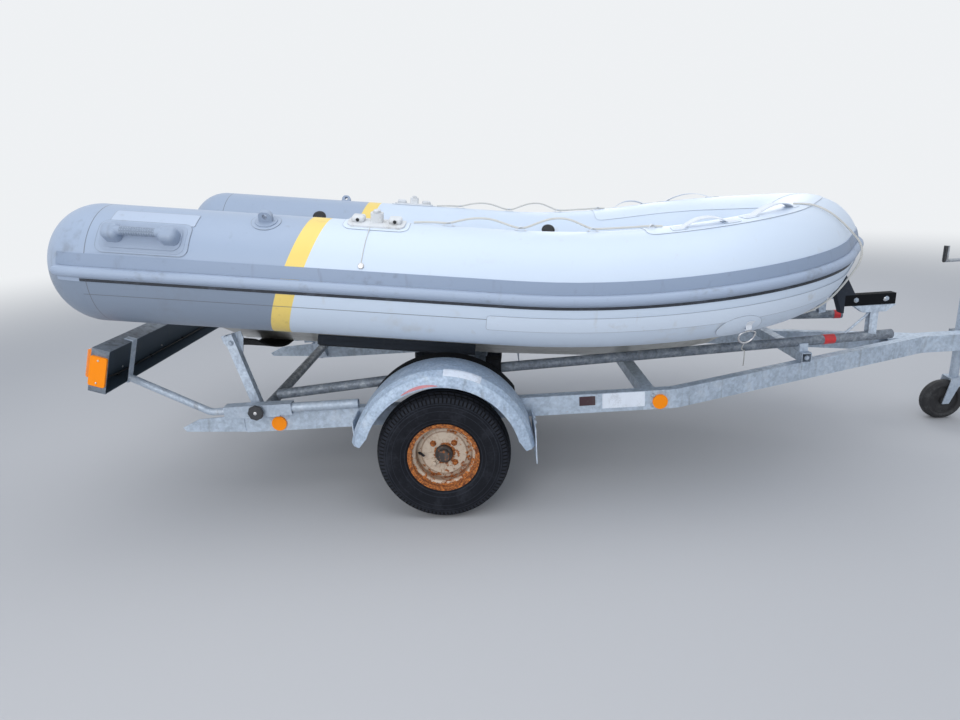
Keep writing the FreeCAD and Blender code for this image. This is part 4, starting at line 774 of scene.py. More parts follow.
hump = rounded_block(HUMP, 0.009)
places = [side @ ROWLOCK @ moved(end * HUMP_OFF, 0, 0.016) for side in SIDES for end in (-1, 1)]
copies(hump, "rowlock_humps", places, white_rubber, "patch_grey")
hole = lathe([(0.0062, 0.0), (0.0062, 0.001), (0.0034, 0.0012)])
places = [side @ ROWLOCK @ moved(end * HUMP_OFF, -0.0254, 0.016) @ rotated(90, "X") for side in SIDES
          for end in (-1, 1)]
copies(hole, "rowlock_hump_holes", places, black_finish, "pad_black")
pin = lathe([(0.0055, -0.012), (0.0055, 0.001), (0.0125, 0.0015), (0.0135, 0.005), (0.0130, 0.009),
             (0.0095, 0.012), (0.004, 0.013)])
copies(pin, "rowlock_pins", pair(ROWLOCK @ moved(0, 0, 0.0385)), white_rubber, "patch_grey")
glued_pair("rowlock_patch", *around(ROWLOCK_AT, 0.118, ROWLOCK_ANGLE, 33.0), 0.034, white_sheet,
           "tube_white", 0.0006, 0.0012)

# The thin cord's stainless button below the rowlock, and the cord that it stretches.
BUTTON_AT = 0.960
button = lathe([(0.011, 0.0), (0.011, 0.0015), (0.0085, 0.004), (0.004, 0.0048)])
copies(button, "cord_buttons", pair(on_tube(BUTTON_AT, 21.7, 0.0005)), steel_finish, "zinc")


def made_mesh(curve):
    choose(curve)
    bpy.ops.object.convert(target="MESH")
    return bpy.context.view_layer.objects.active


def taut_line(name, points, radius, finish, slot, body=TRAILER):
    """Stretched line or fixed wire through points."""
    return finished(made_mesh(nurbs(name, [points], radius, 8, 2)), name, finish, slot, body)


cord_points = [on_tube(0.972, 64.0, 0.0120).translation]
cord_points += [on_tube(0.970 - 0.0011 * step, 64.0 - 4.4 * step, 0.0018).translation
                for step in range(1, 9)]
cord_points.append(on_tube(BUTTON_AT, 22.6, 0.0030).translation)
retainer = taut_line("rowlock_cord_right", cord_points, 0.0012, rope_finish, "cord_white")
port_copy(retainer, "rowlock_cord_left")


# Webbing: flat woven carrying handles sewn to feet on top of the bow tubes, and the small
# tabs that hold the lifelines down. White polyester with stitched boxes at the feet.
webbing_finish, place = new_finish("white_webbing", (0.78, 0.82, 0.88, 1), 0.8, sheen=0.2)
threads = group(CLOTH, {"Place": place, "Threads": 190.0})
edges = axes_of(place.node.outputs["UV"])
stitch = stripes(calc("ABSOLUTE", edges["Y"]), (0.0095, 0.0007))
stitch = times(stitch, wave(place, 110.0))
base = soiled(place, (0.78, 0.82, 0.88, 1), 0.25, 16.0, (0.50, 0.49, 0.47, 1))
feed(tint(times(stitch, 0.5), base, (0.40, 0.40, 0.41, 1)), "Base Color")
bump(threads, 0.0006)


def strap(name, first, last, angle, rise, width, thick, foot, slot="webbing_grey", segments=40):
    """Flat strap along the tube: glued feet at both ends and an arch between them."""
    band = grid(segments, 4)
    uv = band.data.uv_layers.active.data
    flat = []
    for vertex in band.data.vertices:
        along = (vertex.co.x + 0.5) * (last - first)
        across = vertex.co.y * width
        flat.append((along, across))
        inner = min(max((along - foot) / (last - first - 2 * foot), 0.0), 1.0)
        height = 0.0014 + rise * math.sin(math.pi * inner) ** 0.8
        skin_fall = across * across / (2 * TUBE_R)
        vertex.co = on_tube(first + along, angle) @ Vector((0, across, height - skin_fall))
    for loop in band.data.loops:
        uv[loop.index].uv = flat[loop.vertex_index]
    thicken(band, thick)
    return finished(band, name, webbing_finish, slot)


HANDLE_STRAPS = [
    # distances along the tube, angle
    (2.089, 2.314, 78),
    (2.355, 2.640, 82),
]
FOOT_WIDTH = 0.046
foot_arc = math.degrees(FOOT_WIDTH / TUBE_R)
for number, (first, last, angle) in enumerate(HANDLE_STRAPS, 1):
    handle_strap = strap(f"strap_handle_{number}_right", first, last, angle, 0.027, 0.031, 0.0026,
                         0.036)
    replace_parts(handle_strap, "strap_handles")
    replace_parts(port_copy(handle_strap, f"strap_handle_{number}_left"), "strap_handles")
    for end, (near, far) in enumerate(((first - 0.010, first + 0.052), (last - 0.052, last + 0.010))):
        glued_pair(f"strap_foot_{number}_{end}", near, far, angle - foot_arc / 2, angle + foot_arc / 2,
                   0.010, white_sheet, "tube_white", 0.0020, 0.0012)
TAB_PLACES = (1.243, 1.509, 1.790, 2.020)
for number, distance in enumerate(TAB_PLACES, 1):
    tab = strap(f"lifeline_tab_{number}_right", distance - 0.022, distance + 0.022, 90, 0.0125, 0.020,
                0.0016, 0.008, segments=16)
    port_copy(tab, f"lifeline_tab_{number}_left")


# Tow rings: a welded stainless D ring in a folded webbing loop on a round white patch, low
# on each bow cheek. A thin lashing runs from the near ring to the spine tube.
TOW_AT, TOW_ANGLE = 2.262, -46.0
RING_AT = 2.288
TOW_PATCH_D = 0.132
arc = math.degrees(TOW_PATCH_D / TUBE_R)
tow_patch = glued_sheet("tow_patch_right", *around(TOW_AT, TOW_PATCH_D / 2, TOW_ANGLE, arc), 0.0655,
                        white_sheet, "cap_white", 0.0009, 0.0024)
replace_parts(tow_patch, "tow_rings")
port_copy(tow_patch, "tow_patch_left")
bpy.ops.object.select_all(action="DESELECT")
bpy.ops.mesh.primitive_torus_add(major_radius=0.032, minor_radius=0.0036, major_segments=48,
                                 minor_segments=12)
ring = bpy.context.object
for vertex in ring.data.vertices:
    if vertex.co.y > 0.010:
        vertex.co.y = 0.010 + (vertex.co.y - 0.010) * 0.45
ring_place = on_tube(RING_AT, TOW_ANGLE, 0.0125) @ rotated(-24, "X") @ moved(0, -0.030, 0)
copies(ring, "tow_ring_steel", pair(ring_place), steel_finish, "zinc")
loop_model = grid(10, 10)
for vertex in loop_model.data.vertices:
    reach = vertex.co.y + 0.5
    narrow = 0.030 - 0.012 * (1 - reach)
    fold = math.sin(math.pi * min(reach * 1.9, 1.0))
    vertex.co = Vector((vertex.co.x * narrow, -0.012 + 0.052 * reach, 0.0040 + 0.0125 * fold))
thicken(loop_model, 0.0022, -1.0)
apply_all(loop_model)
loop_place = on_tube(RING_AT, TOW_ANGLE) @ moved(0, -0.004, 0)
copies(loop_model, "tow_ring_webbing", pair(loop_place), webbing_finish, "webbing_grey")
ring_low = ring_place @ Vector((0, -0.030, 0))
LASHING = [ring_low, Vector((0.430, -0.520, 0.585)), Vector((0.520, -0.350, 0.520)),
           Vector((0.556, -0.262, 0.500))]
taut_line("lashing", LASHING, 0.0022, rope_finish, "cord_white")
TAIL = [Vector((0.556, -0.262, 0.502)), Vector((0.560, -0.257, 0.470)), Vector((0.558, -0.255, 0.425))]
taut_line("lashing_tail", TAIL, 0.0022, rope_finish, "cord_white")


# Rigid hull: glass fibre with a cream gelcoat that has weathered, with scuffs along the
# keel. The deck is grey non-slip paint, and the transom is painted white board.
hull_finish = worn_finish("gelcoat", (0.55, 0.54, 0.49, 1), 0.35, 0.6, 3.0, (0.22, 0.19, 0.15, 1), 12.0,
                          0.0008, 0.4, coat=0.2)
deck_finish, place = new_finish("deck_paint", (0.30, 0.32, 0.34, 1), 0.8)
feed(soiled(place, (0.36, 0.38, 0.40, 1), 0.35, 4.0, (0.22, 0.21, 0.20, 1)), "Base Color")
grit = put("TexVoronoi", {"Vector": place, "Scale": 260.0}).outputs["Distance"]
bump(grit, 0.0012)
transom_finish = worn_finish("transom_paint", (0.70, 0.71, 0.70, 1), 0.4, 0.3, 6.0,
                             (0.44, 0.41, 0.36, 1), 40.0, 0.0004)
dress(hull_finish, "hull")
dress(deck_finish, "deck")
dress(transom_finish, "transom", "bow_locker", "locker_lid")
dress(black_finish, "motor_pads")

# Air valves on the tubes' inner sides and the locker's round latch: black plastic mouldings
# with a screwed cap.
valve = lathe([(0.034, -0.001), (0.034, 0.0015), (0.030, 0.0035), (0.0245, 0.0040), (0.0235, 0.0085),
               (0.0215, 0.0100), (0.008, 0.0104)], 40)
places = [side @ on_tube(distance, 141.0) for distance in (0.52, 1.72) for side in SIDES]
copies(valve, "air_valves", places, black_finish, "pad_black")
latch = lathe([(0.022, 0.0), (0.022, 0.0018), (0.0185, 0.0036), (0.0125, 0.0038), (0.0115, 0.0060),
               (0.006, 0.0064)], 32)
copies(latch, "locker_latch", [BOAT_LIE @ moved(2.128, 0, 0.1264)], black_finish, "pad_black",
       "locker_lid")


# Trailer steel: hot-dip galvanised and dulled by years outdoors, so the zinc's spangle is
# faint, with pale bloom, dirt in runs and a little rust at the cut ends and welds.
ZINC_LIGHT = (0.57, 0.66, 0.77, 1)
ZINC_MIDDLE = (0.35, 0.41, 0.485, 1)
# The darkest zinc is painted shade, for the tubes under the boat.
SHADED_ZINC_DARK = (0.115, 0.13, 0.155, 1)

# Spangle: flat crystals of zinc, each with its own shade, and pale bloom between them.
SPANGLE, takes, gives = new_group("Spangle", [("Place", "Vector", None), ("Scale", "Float", 60.0)],
                                  [("Shade", "Float"), ("Bloom", "Float")])
cells = put("TexVoronoi", {"Vector": takes["Place"], "Scale": takes["Scale"]}).outputs["Color"]
shade = axes_of(cells)["X"]
cloud = speckle(takes["Place"], times(takes["Scale"], 0.2), 6.0, 0.65)
flecks = speckle(takes["Place"], takes["Scale"], 4.0, 0.5)
mixed = plus(times(shade, 0.13), plus(times(cloud, 0.45), times(flecks, 0.42)))
SPANGLE.links.new(ramp(mixed, 0.26, 0.74), gives["Shade"])
SPANGLE.links.new(ramp(cloud, 0.52, 0.68), gives["Bloom"])

# Rust: orange to dark brown, with a ragged edge.
RUST, takes, gives = new_group("Rust", [("Place", "Vector", None), ("Scale", "Float", 30.0),
                                        ("Amount", "Float", 0.3)],
                               [("Mask", "Float"), ("Color", "Color")])
ragged = speckle(takes["Place"], takes["Scale"], 7.0, 0.68)
start = minus(0.70, times(takes["Amount"], 0.45))
RUST.links.new(ramp(ragged, start, plus(start, 0.07)), gives["Mask"])
deep = speckle(takes["Place"], times(takes["Scale"], 2.7), 5.0, 0.7)
RUST.links.new(tint(ramp(deep, 0.40, 0.62), (0.15, 0.044, 0.015, 1), (0.56, 0.19, 0.042, 1)),
               gives["Color"])


def rusting(place, scale, amount):
    """Rust's mask and colour, by name."""
    return put("Group", {"Place": place, "Scale": scale, "Amount": amount}, node_tree=RUST).outputs


def galvanised(name, light, dark, scale=70.0, rust_amount=0.05, roughness=0.5):
    """Weathered zinc with dirt in runs and specks of rust."""
    finish, place = new_finish(name, light, roughness, 0.2)
    zinc = put("Group", {"Place": place, "Scale": scale}, node_tree=SPANGLE).outputs
    colour = tint(times(zinc["Bloom"], 0.28), tint(zinc["Shade"], dark, light), (0.62, 0.65, 0.68, 1))
    runs = group(STREAKS, {"Place": place, "Scale": 40.0, "Amount": 0.4})
    colour = tint(times(runs, 0.35), colour, (0.14, 0.13, 0.12, 1))
    rust = rusting(place, 55.0, rust_amount)
    feed(tint(rust["Mask"], colour, rust["Color"]), "Base Color")
    matt = put("MapRange", {"Value": zinc["Shade"], "To Min": roughness + 0.14,
                            "To Max": roughness - 0.12})
    feed(matt.outputs[0], "Roughness")
    feed(times(minus(1.0, rust["Mask"]), 0.2), "Metallic")
    bump(plus(zinc["Shade"], times(speckle(place, 9.0), 0.6)), 0.0006, 0.6)
    return finish


rail_zinc = galvanised("galvanised_rails", ZINC_LIGHT, ZINC_MIDDLE)
# The tubes, axle and arms under the boat get a darker copy of the zinc: painted shade.
shaded_tube_zinc = galvanised("galvanised_tubes_shaded", (0.27, 0.31, 0.36, 1), SHADED_ZINC_DARK, 90.0)
fender_zinc = galvanised("galvanised_fenders", (0.52, 0.625, 0.755, 1), (0.31, 0.385, 0.49, 1), 110.0,
                         0.02, 0.62)
# The posts, stays, rest and welds get a lighter copy of the zinc: painted light on their lit faces.
lit_post_zinc = galvanised("galvanised_posts_lit", (0.68, 0.77, 0.88, 1), (0.38, 0.44, 0.52, 1), 80.0, 0.08)
arm_zinc = galvanised("galvanised_arms", (0.48, 0.55, 0.64, 1), ZINC_MIDDLE, 90.0, 0.03)
dress(rail_zinc, "side_rail_right", "side_rail_left", "drawbar_nose", "rail_tails", "cross_beams",
      "rail_plates", "coupling_head")
dress(shaded_tube_zinc, "spine_tubes", "rear_cross_tube", "axle_beam", "swing_arms", "jack_clamp")
dress(fender_zinc, "fenders")
dress(lit_post_zinc, "bow_rest", "rear_posts", "fender_stays", "bunk_posts", "saddles")
dress(arm_zinc, "light_arms", "board_sleeves", "jack_tube", "jack_leg", "jack_fork")

# Black rubber and plastic: the chocks, the channels on the bow rest and the guards.
rubber_finish = worn_finish("black_rubber", (0.006, 0.0068, 0.009, 1), 0.8, 0.35, 9.0,
                            (0.028, 0.029, 0.032, 1), 160.0, 0.0006, specular=0.15)
dress(rubber_finish, "spine_clamps", "splash_guards", "bow_rest_arms")


# Road wheels: pressed steel painted cream and rusting at the rims, the bolts and the hub.
# Four bolts hold each, and a rubber valve stands in the rim.
WHEEL_Y = 0.682
WHEEL = moved(AXLE_X, -WHEEL_Y, WHEEL_R) @ rotated(90, "X")
DISC_FACE = 0.006
BOLT_R = 0.0575
VALVE_R = 0.094

# Polar: how far out and how far round a point is from the axle, and how far off the middle.
POLAR, takes, gives = new_group("Polar", [("Place", "Vector", None)],
                                [("Radius", "Float"), ("Angle", "Float"), ("Side", "Float")])
from_axle = put("VectorMath", {0: takes["Place"], 1: (AXLE_X, 0, WHEEL_R)},
                operation="SUBTRACT").outputs[0]
parts = axes_of(from_axle)
flat = put("CombineXYZ", {0: parts["X"], 1: 0.0, 2: parts["Z"]}).outputs[0]
POLAR.links.new(put("VectorMath", {0: flat}, operation="LENGTH").outputs["Value"], gives["Radius"])
POLAR.links.new(calc("ARCTAN2", parts["Z"], parts["X"]), gives["Angle"])
POLAR.links.new(calc("ABSOLUTE", parts["Y"]), gives["Side"])

cream_finish, place = new_finish("cream_paint_rusting", (0.60, 0.55, 0.48, 1), 0.45)
polar = put("Group", {"Place": place}, node_tree=POLAR).outputs
lip_rust = ramp(polar["Radius"], 0.1165, 0.1275)
hub_rust = ramp(polar["Radius"], 0.052, 0.036)
well_rust = ramp(polar["Radius"], 0.084, 0.100)
amount = plus(times(lip_rust, 0.60), times(hub_rust, 0.36))
amount = plus(plus(amount, 0.27), times(well_rust, 0.16))
worse_side = times(calc("COSINE", plus(polar["Angle"], 0.6)), 0.10)
rust = rusting(place, 42.0, plus(amount, worse_side))
paint = soiled(place, (0.60, 0.50, 0.395, 1), 0.55, 16.0, (0.33, 0.23, 0.15, 1))
radial = put("CombineXYZ", {0: times(polar["Angle"], 3.0), 1: times(polar["Radius"], 12.0)}).outputs[0]
washed = ramp(speckle(radial, 2.6), 0.52, 0.75)
paint = tint(times(washed, 0.75), paint, (0.34, 0.19, 0.10, 1))
steps = stripes(polar["Radius"], (0.0885, 0.0012, 0.003), (0.1085, 0.0015, 0.004))
paint = tint(times(steps, 0.6), paint, (0.20, 0.10, 0.05, 1))
feed(tint(rust["Mask"], paint, rust["Color"]), "Base Color")
feed(plus(0.42, times(rust["Mask"], 0.45)), "Roughness")
bump(plus(rust["Mask"], speckle(place, 120.0)), 0.0006)
dress(cream_finish, "wheel_right", "wheel_left")

hub_finish, place = new_finish("hub_steel", (0.06, 0.05, 0.048, 1), 0.6, 0.4)
rust = rusting(place, 60.0, 0.30)
greasy = soiled(place, (0.055, 0.048, 0.046, 1), 0.5, 30.0, (0.17, 0.14, 0.12, 1))
feed(tint(rust["Mask"], greasy, rust["Color"]), "Base Color")
bump(speckle(place, 130.0), 0.0008)
dress(hub_finish, "hub_right", "hub_left")

rusty_steel, place = new_finish("rusty_steel", (0.20, 0.09, 0.045, 1), 0.8, 0.2)
rust = rusting(place, 90.0, 0.9)
feed(tint(rust["Mask"], (0.10, 0.07, 0.06, 1), rust["Color"]), "Base Color")
bump(speckle(place, 240.0), 0.0006)

bolt = lathe([(0.0135, 0.0), (0.0135, 0.002), (0.0100, 0.0035), (0.0100, 0.0115), (0.0072, 0.0140),
              (0.004, 0.0145)], 6)
soften(bolt, 0.0007, 1)
for side_name, side in (("right", SIDES[0]), ("left", PORT)):
    places = [side @ WHEEL @ rotated(turn, "Z") @ moved(BOLT_R, 0, DISC_FACE)
              for turn in (45, 135, 315)]
    copies(bolt, f"wheel_bolts_{side_name}", places, rusty_steel, "hub_rust", f"wheel_{side_name}", 25,
           True)
    pale = [side @ WHEEL @ rotated(225, "Z") @ moved(BOLT_R, 0, DISC_FACE)]
    copies(bolt, f"wheel_bolt_pale_{side_name}", pale, cream_finish, "wheel_cream",
           f"wheel_{side_name}", 25, True)
discard(bolt)
valve = lathe([(0.0065, -0.006), (0.0065, 0.004), (0.0048, 0.007), (0.0040, 0.022), (0.0046, 0.0225),
               (0.0046, 0.031), (0.0030, 0.032)], 16)
for side_name, side in (("right", SIDES[0]), ("left", PORT)):
    seat = side @ WHEEL @ moved(-VALVE_R, 0, DISC_FACE - 0.004) @ rotated(32, "Y")
    copies(valve, f"wheel_valve_{side_name}", [seat], black_finish, "rubber_black",
           f"wheel_{side_name}", keep=True)
discard(valve)


# Tyres: crossply road tyres, black rubber gone bluish with dust, with grooves round the
# tread, notched shoulders and rings on the walls. Blank: no maker's letters or sizes.
tyre_finish, place = new_finish("tyre_rubber", (0.016, 0.017, 0.020, 1), 0.86, specular=0.22)
polar = put("Group", {"Place": place}, node_tree=POLAR).outputs
off_middle = calc("ABSOLUTE", minus(polar["Side"], WHEEL_Y))
tread = ramp(polar["Radius"], 0.244, 0.248)
grooves = stripes(off_middle, (0.0, 0.0028, 0.0012), (0.021, 0.0026, 0.0012), (0.040, 0.0022, 0.0012))
across = calc("SINE", plus(times(polar["Angle"], 64.0), times(off_middle, 90.0)))
sipes = ramp(across, 0.80, 0.93)
grooves = most(grooves, times(sipes, ramp(off_middle, 0.026, 0.030)))
grooves = times(grooves, tread)
shoulder = times(ramp(polar["Radius"], 0.226, 0.229), ramp(polar["Radius"], 0.246, 0.243))
notches = times(ramp(calc("SINE", times(polar["Angle"], 96.0)), 0.35, 0.65), shoulder)
rings = stripes(polar["Radius"], (0.148, 0.0014, 0.0012), (0.163, 0.0009, 0.0012),
                (0.196, 0.0008, 0.0012), (0.214, 0.0012, 0.0012), (0.223, 0.0009, 0.0012))
rings = times(rings, ramp(polar["Radius"], 0.228, 0.226))
height = minus(times(rings, 0.30), plus(grooves, times(notches, 0.9)))
bump(plus(height, times(speckle(place, 110.0), 0.08)), 0.0042)
dust = group(GRIME, {"Place": place, "Scale": 12.0, "Amount": 0.55})
rubber = tint(times(dust, 0.16), (0.0075, 0.0088, 0.013, 1), (0.075, 0.08, 0.10, 1))
# Painted highlight: the raised rings and the shoulder's lands between the notches are lighter.
rubber = tint(times(most(rings, shoulder), 0.5), rubber, (0.034, 0.039, 0.052, 1))
# Painted shade: the grooves and notches are near black.
rubber = tint(most(grooves, notches), rubber, (0.003, 0.003, 0.004, 1))
worn = times(times(tread, minus(1.0, grooves)), 0.30)
feed(tint(worn, rubber, (0.046, 0.051, 0.066, 1)), "Base Color")
dress(tyre_finish, "tyre_right", "tyre_left")
jack_tyre = worn_finish("jack_rubber", (0.018, 0.018, 0.02, 1), 0.7, 0.5, 18.0, (0.07, 0.07, 0.072, 1),
                        150.0, 0.0005)
dress(jack_tyre, "jack_wheel")


# Fender trim and labels: blank vinyl stickers on the right fender and rail, with curled,
# soiled edges. The left side has none.
def vinyl(name, colour, dirt):
    return worn_finish(name, colour, 0.35, 0.5, 22.0, dirt, 30.0, 0.0006, 0.5)


white_vinyl = vinyl("white_vinyl", (0.80, 0.85, 0.93, 1), (0.50, 0.52, 0.56, 1))
dark_vinyl = vinyl("dark_red_vinyl", (0.055, 0.022, 0.030, 1), (0.10, 0.085, 0.085, 1))
red_tape = vinyl("red_tape", (0.68, 0.03, 0.035, 1), (0.28, 0.06, 0.05, 1))
RAIL_FACE_Y = -0.5502
LABELS = [
    # name, trailer x from and to, z from and to, finish
    ("rail_label", 0.638, 0.808, 0.3505, 0.413, white_vinyl),
    ("rail_label_dark", 0.546, 0.610, 0.367, 0.406, dark_vinyl),
]
for name, rear, ahead, low, high, finish in LABELS:
    label = grid(24, 8)
    for vertex in label.data.vertices:
        flat_x, flat_z = vertex.co.x * 2, vertex.co.y * 2
        trim = 1 - 0.02 * max(0.0, abs(flat_x) + abs(flat_z) - 1.7)
        lift = 0.0009 * max(0.0, abs(flat_x) - 0.85) / 0.15 * abs(math.sin(3 * flat_z))
        vertex.co = ((rear + ahead) / 2 + trim * flat_x * (ahead - rear) / 2, RAIL_FACE_Y - lift,
                     (low + high) / 2 + trim * flat_z * (high - low) / 2)
    thicken(label, 0.0003)
    finished(label, name, finish, "board_white", place=TRAILER_LIE)

# The fender's label is stuck over the bend between the crown and the side.
BEND = [Vector((0, -0.778, 0.308)), Vector((0, -0.7633, 0.3373)), Vector((0, -0.734, 0.352))]
label = grid(36, 8)
for vertex in label.data.vertices:
    turn = math.radians(16.25 + vertex.co.x * 23.5)
    across = 0.022 + vertex.co.y * 0.044
    slope = (BEND[2] - BEND[1]).length
    spot = BEND[1].lerp(BEND[2], min(across / slope, 1.0))
    spot.y += max(across - slope, 0.0)
    radius = spot.z + 0.0007
    vertex.co = (radius * math.sin(turn), spot.y - 0.0005, WHEEL_R + radius * math.cos(turn))
thicken(label, 0.0004, 0.0)
finished(label, "fender_label", white_vinyl, "board_white", place=TRAILER_LIE, smooth=60)

# A faded red tape is stuck along the fender's lip, behind its top, and tapers at both ends.
faded_tape = vinyl("faded_red_tape", (0.52, 0.17, 0.19, 1), (0.40, 0.30, 0.31, 1))
tape = grid(30, 3)
for vertex in tape.data.vertices:
    turn = math.radians(-12 + vertex.co.x * 26)
    radius = 0.3045 + (vertex.co.y + 0.5) * 0.010 * (1 - (2 * vertex.co.x) ** 2 * 0.8)
    vertex.co = (radius * math.sin(turn), BEND[0].y + (radius - BEND[0].z) * 0.5 - 0.0012,
                 WHEEL_R + radius * math.cos(turn))
thicken(tape, 0.0004, 0.0)
finished(tape, "fender_lip_tape", faded_tape, "lamp_red", place=TRAILER_LIE)


def sleeve_round(name, start, end, radius, finish, slot):
    """Thin tape wound round a tube between two points."""
    start, end = Vector(start), Vector(end)
    bpy.ops.object.select_all(action="DESELECT")
    bpy.ops.mesh.primitive_cylinder_add(vertices=40, radius=radius, depth=(end - start).length,
                                        end_fill_type="NOTHING")
    tape = bpy.context.object
    aim = (end - start).to_track_quat("Z", "Y")
    tape.data.transform(Matrix.Translation((start + end) / 2) @ aim.to_matrix().to_4x4())
    thicken(tape, 0.0006)
    return finished(tape, name, finish, slot, place=TRAILER_LIE)


SPINE_BEND = Vector((0.100, 0.430, 0.508))
SPINE_FRONT = Vector((1.980, 0.200, 0.489))
SPINE_TAPE_R = 0.0214


def spine_at(x, side):
    """Middle of a spine tube ahead of its bend, in the trailer's frame; side -1 is right."""
    spot = SPINE_BEND.lerp(SPINE_FRONT, (x - SPINE_BEND.x) / (SPINE_FRONT.x - SPINE_BEND.x))
    return Vector((spot.x, side * spot.y, spot.z))


sleeve_round("spine_tape_right", spine_at(1.658, -1), spine_at(1.709, -1), SPINE_TAPE_R, red_tape,
             "lamp_red")
sleeve_round("spine_tape_left", spine_at(1.940, 1), spine_at(1.970, 1), SPINE_TAPE_R, red_tape,
             "lamp_red")


# Light board: a folded sheet channel, dark inside, with a lamp at each end, an amber end
# reflector held by two screws, rivets and a cable clipped inside. It slides with its arms.
# The inside's dark grey has painted shade from the channel in it.
BOARD = TRAILER_LIE @ moved(-1.262, 0, 0.696) @ rotated(19, "Y")
board_finish, place = new_finish("board_zinc", (0.10, 0.115, 0.135, 1), 0.55, 0.3)
in_board = in_frame(place, BOARD)
axes = axes_of(in_board)
outside = most(ramp(calc("ABSOLUTE", axes["Z"]), 0.0838, 0.0842),
               most(ramp(axes["X"], 0.0012, 0.0008), ramp(axes["X"], 0.0625, 0.0632)))
outside = most(outside, ramp(calc("ABSOLUTE", axes["Y"]), 0.7386, 0.7390))
zinc = put("Group", {"Place": place, "Scale": 60.0}, node_tree=SPANGLE).outputs
# Inside the channel: dark grey with painted shade in it.
inner = soiled(place, (0.056, 0.082, 0.112, 1), 0.35, 10.0, (0.10, 0.105, 0.11, 1))
outer = tint(zinc["Shade"], (0.085, 0.10, 0.125, 1), (0.24, 0.28, 0.33, 1))
feed(tint(outside, inner, outer), "Base Color")
bump(speckle(place, 14.0), 0.0008, 0.5)
dress(board_finish, "light_board")

# The reflectors glow faintly though they are no lamps: painted light.
glowing_amber_finish, place = new_finish("amber_lens_painted_glow", (0.95, 0.28, 0.008, 1), 0.30, specular=0.25, glow=0.10)
prisms = times(wave(place, 110.0), wave(place, 110.0, "Z"))
lens = tint(times(prisms, 0.35), (0.95, 0.27, 0.002, 1), (0.78, 0.17, 0.001, 1))
feed(soiled(place, lens, 0.2, 30.0, (0.40, 0.20, 0.06, 1)), "Base Color")
bump(prisms, 0.0005, 0.5)
feed(lens, "Emission Color")
dress(glowing_amber_finish, "rail_reflectors", "end_reflectors")
# The lens is amber outboard, red in the middle and white inboard.
AMBER_FROM = 0.6235
WHITE_TO = 0.5295
HALF_STEP = 0.0005
lamp_finish, place = new_finish("lamp_lens", (0.62, 0.015, 0.012, 1), 0.2, coat=0.7)
side_y = calc("ABSOLUTE", axes_of(place)["Y"])
ribs = wave(place, 55.0, "Z")
lens = tint(ramp(side_y, AMBER_FROM - HALF_STEP, AMBER_FROM + HALF_STEP), (0.60, 0.014, 0.012, 1),
            (0.92, 0.24, 0.008, 1))
lens = tint(ramp(side_y, WHITE_TO + HALF_STEP, WHITE_TO - HALF_STEP), lens, (0.70, 0.70, 0.68, 1))
divide = stripes(side_y, (AMBER_FROM, 0.0012), (WHITE_TO, 0.0012))
feed(tint(divide, lens, (0.03, 0.02, 0.02, 1)), "Base Color")
bump(ribs, 0.0008, 0.6)
dress(lamp_finish, "tail_lamps")

screw = lathe([(0.0042, 0.0), (0.0042, 0.0012), (0.0030, 0.0030), (0.0012, 0.0036)], 16)
END_SCREWS = [BOARD @ moved(0.032, -0.749, height) @ rotated(90, "X") for height in (-0.044, 0.044)]
copies(screw, "reflector_screws", [side @ spot for spot in END_SCREWS for side in SIDES], steel_finish,
       "zinc", "board_slide", keep=True)
BOARD_RIVETS = [BOARD @ moved(0.0026, y, height) @ rotated(90, "Y")
                for y in (-0.662, -0.518, -0.20, 0.20, 0.518, 0.662) for height in (-0.060, 0.060)]
copies(screw, "board_rivets", BOARD_RIVETS, steel_finish, "zinc", "board_slide")
CABLE_RUN = [(0.012, -0.700, -0.050), (0.010, -0.640, -0.066), (0.010, -0.560, -0.074),
             (0.011, -0.400, -0.077), (0.010, -0.200, -0.0765), (0.012, 0.0, -0.077),
             (0.010, 0.200, -0.0765), (0.011, 0.400, -0.077), (0.010, 0.560, -0.074),
             (0.010, 0.640, -0.066), (0.012, 0.700, -0.050)]
taut_line("board_cable", [BOARD @ Vector(spot) for spot in CABLE_RUN], 0.0035, black_finish,
          "rubber_black", "board_slide")
clip = rounded_block((0.012, 0.010, 0.010), 0.002, 2)
copies(clip, "board_cable_clips", [BOARD @ moved(0.009, y, -0.0775)
                                   for y in (-0.56, -0.3, 0.0, 0.3, 0.56)], black_finish,
       "rubber_black", "board_slide")


# Locking knobs: black plastic with a metal centre, on the screws that hold the board's arms.
knob_finish = worn_finish("knob_plastic", (0.035, 0.037, 0.042, 1), 0.45, 0.5, 30.0,
                          (0.06, 0.06, 0.062, 1), 260.0, 0.0004)
dress(knob_finish, "sleeve_knobs")
KNOB = TRAILER_LIE @ moved(-0.735, -0.624, 0.442) @ rotated(90, "X")
stud = lathe([(0.0068, 0.0), (0.0068, 0.0010), (0.0050, 0.0018), (0.0050, 0.0040), (0.0030, 0.0046)],
             20)
copies(stud, "knob_studs", pair(KNOB), steel_finish, "zinc")
grip = lathe([(0.0250, -0.0135), (0.0310, -0.0115), (0.0310, -0.0035), (0.0275, 0.0004),
              (0.0090, 0.0007)], 64)
for vertex in grip.data.vertices:
    if math.hypot(vertex.co.x, vertex.co.y) > 0.026:
        flute = 1 - 0.035 * (1 - math.cos(8 * math.atan2(vertex.co.y, vertex.co.x)))
        vertex.co.x *= flute
        vertex.co.y *= flute
copies(grip, "knob_grips", pair(KNOB), knob_finish, "knob_black")


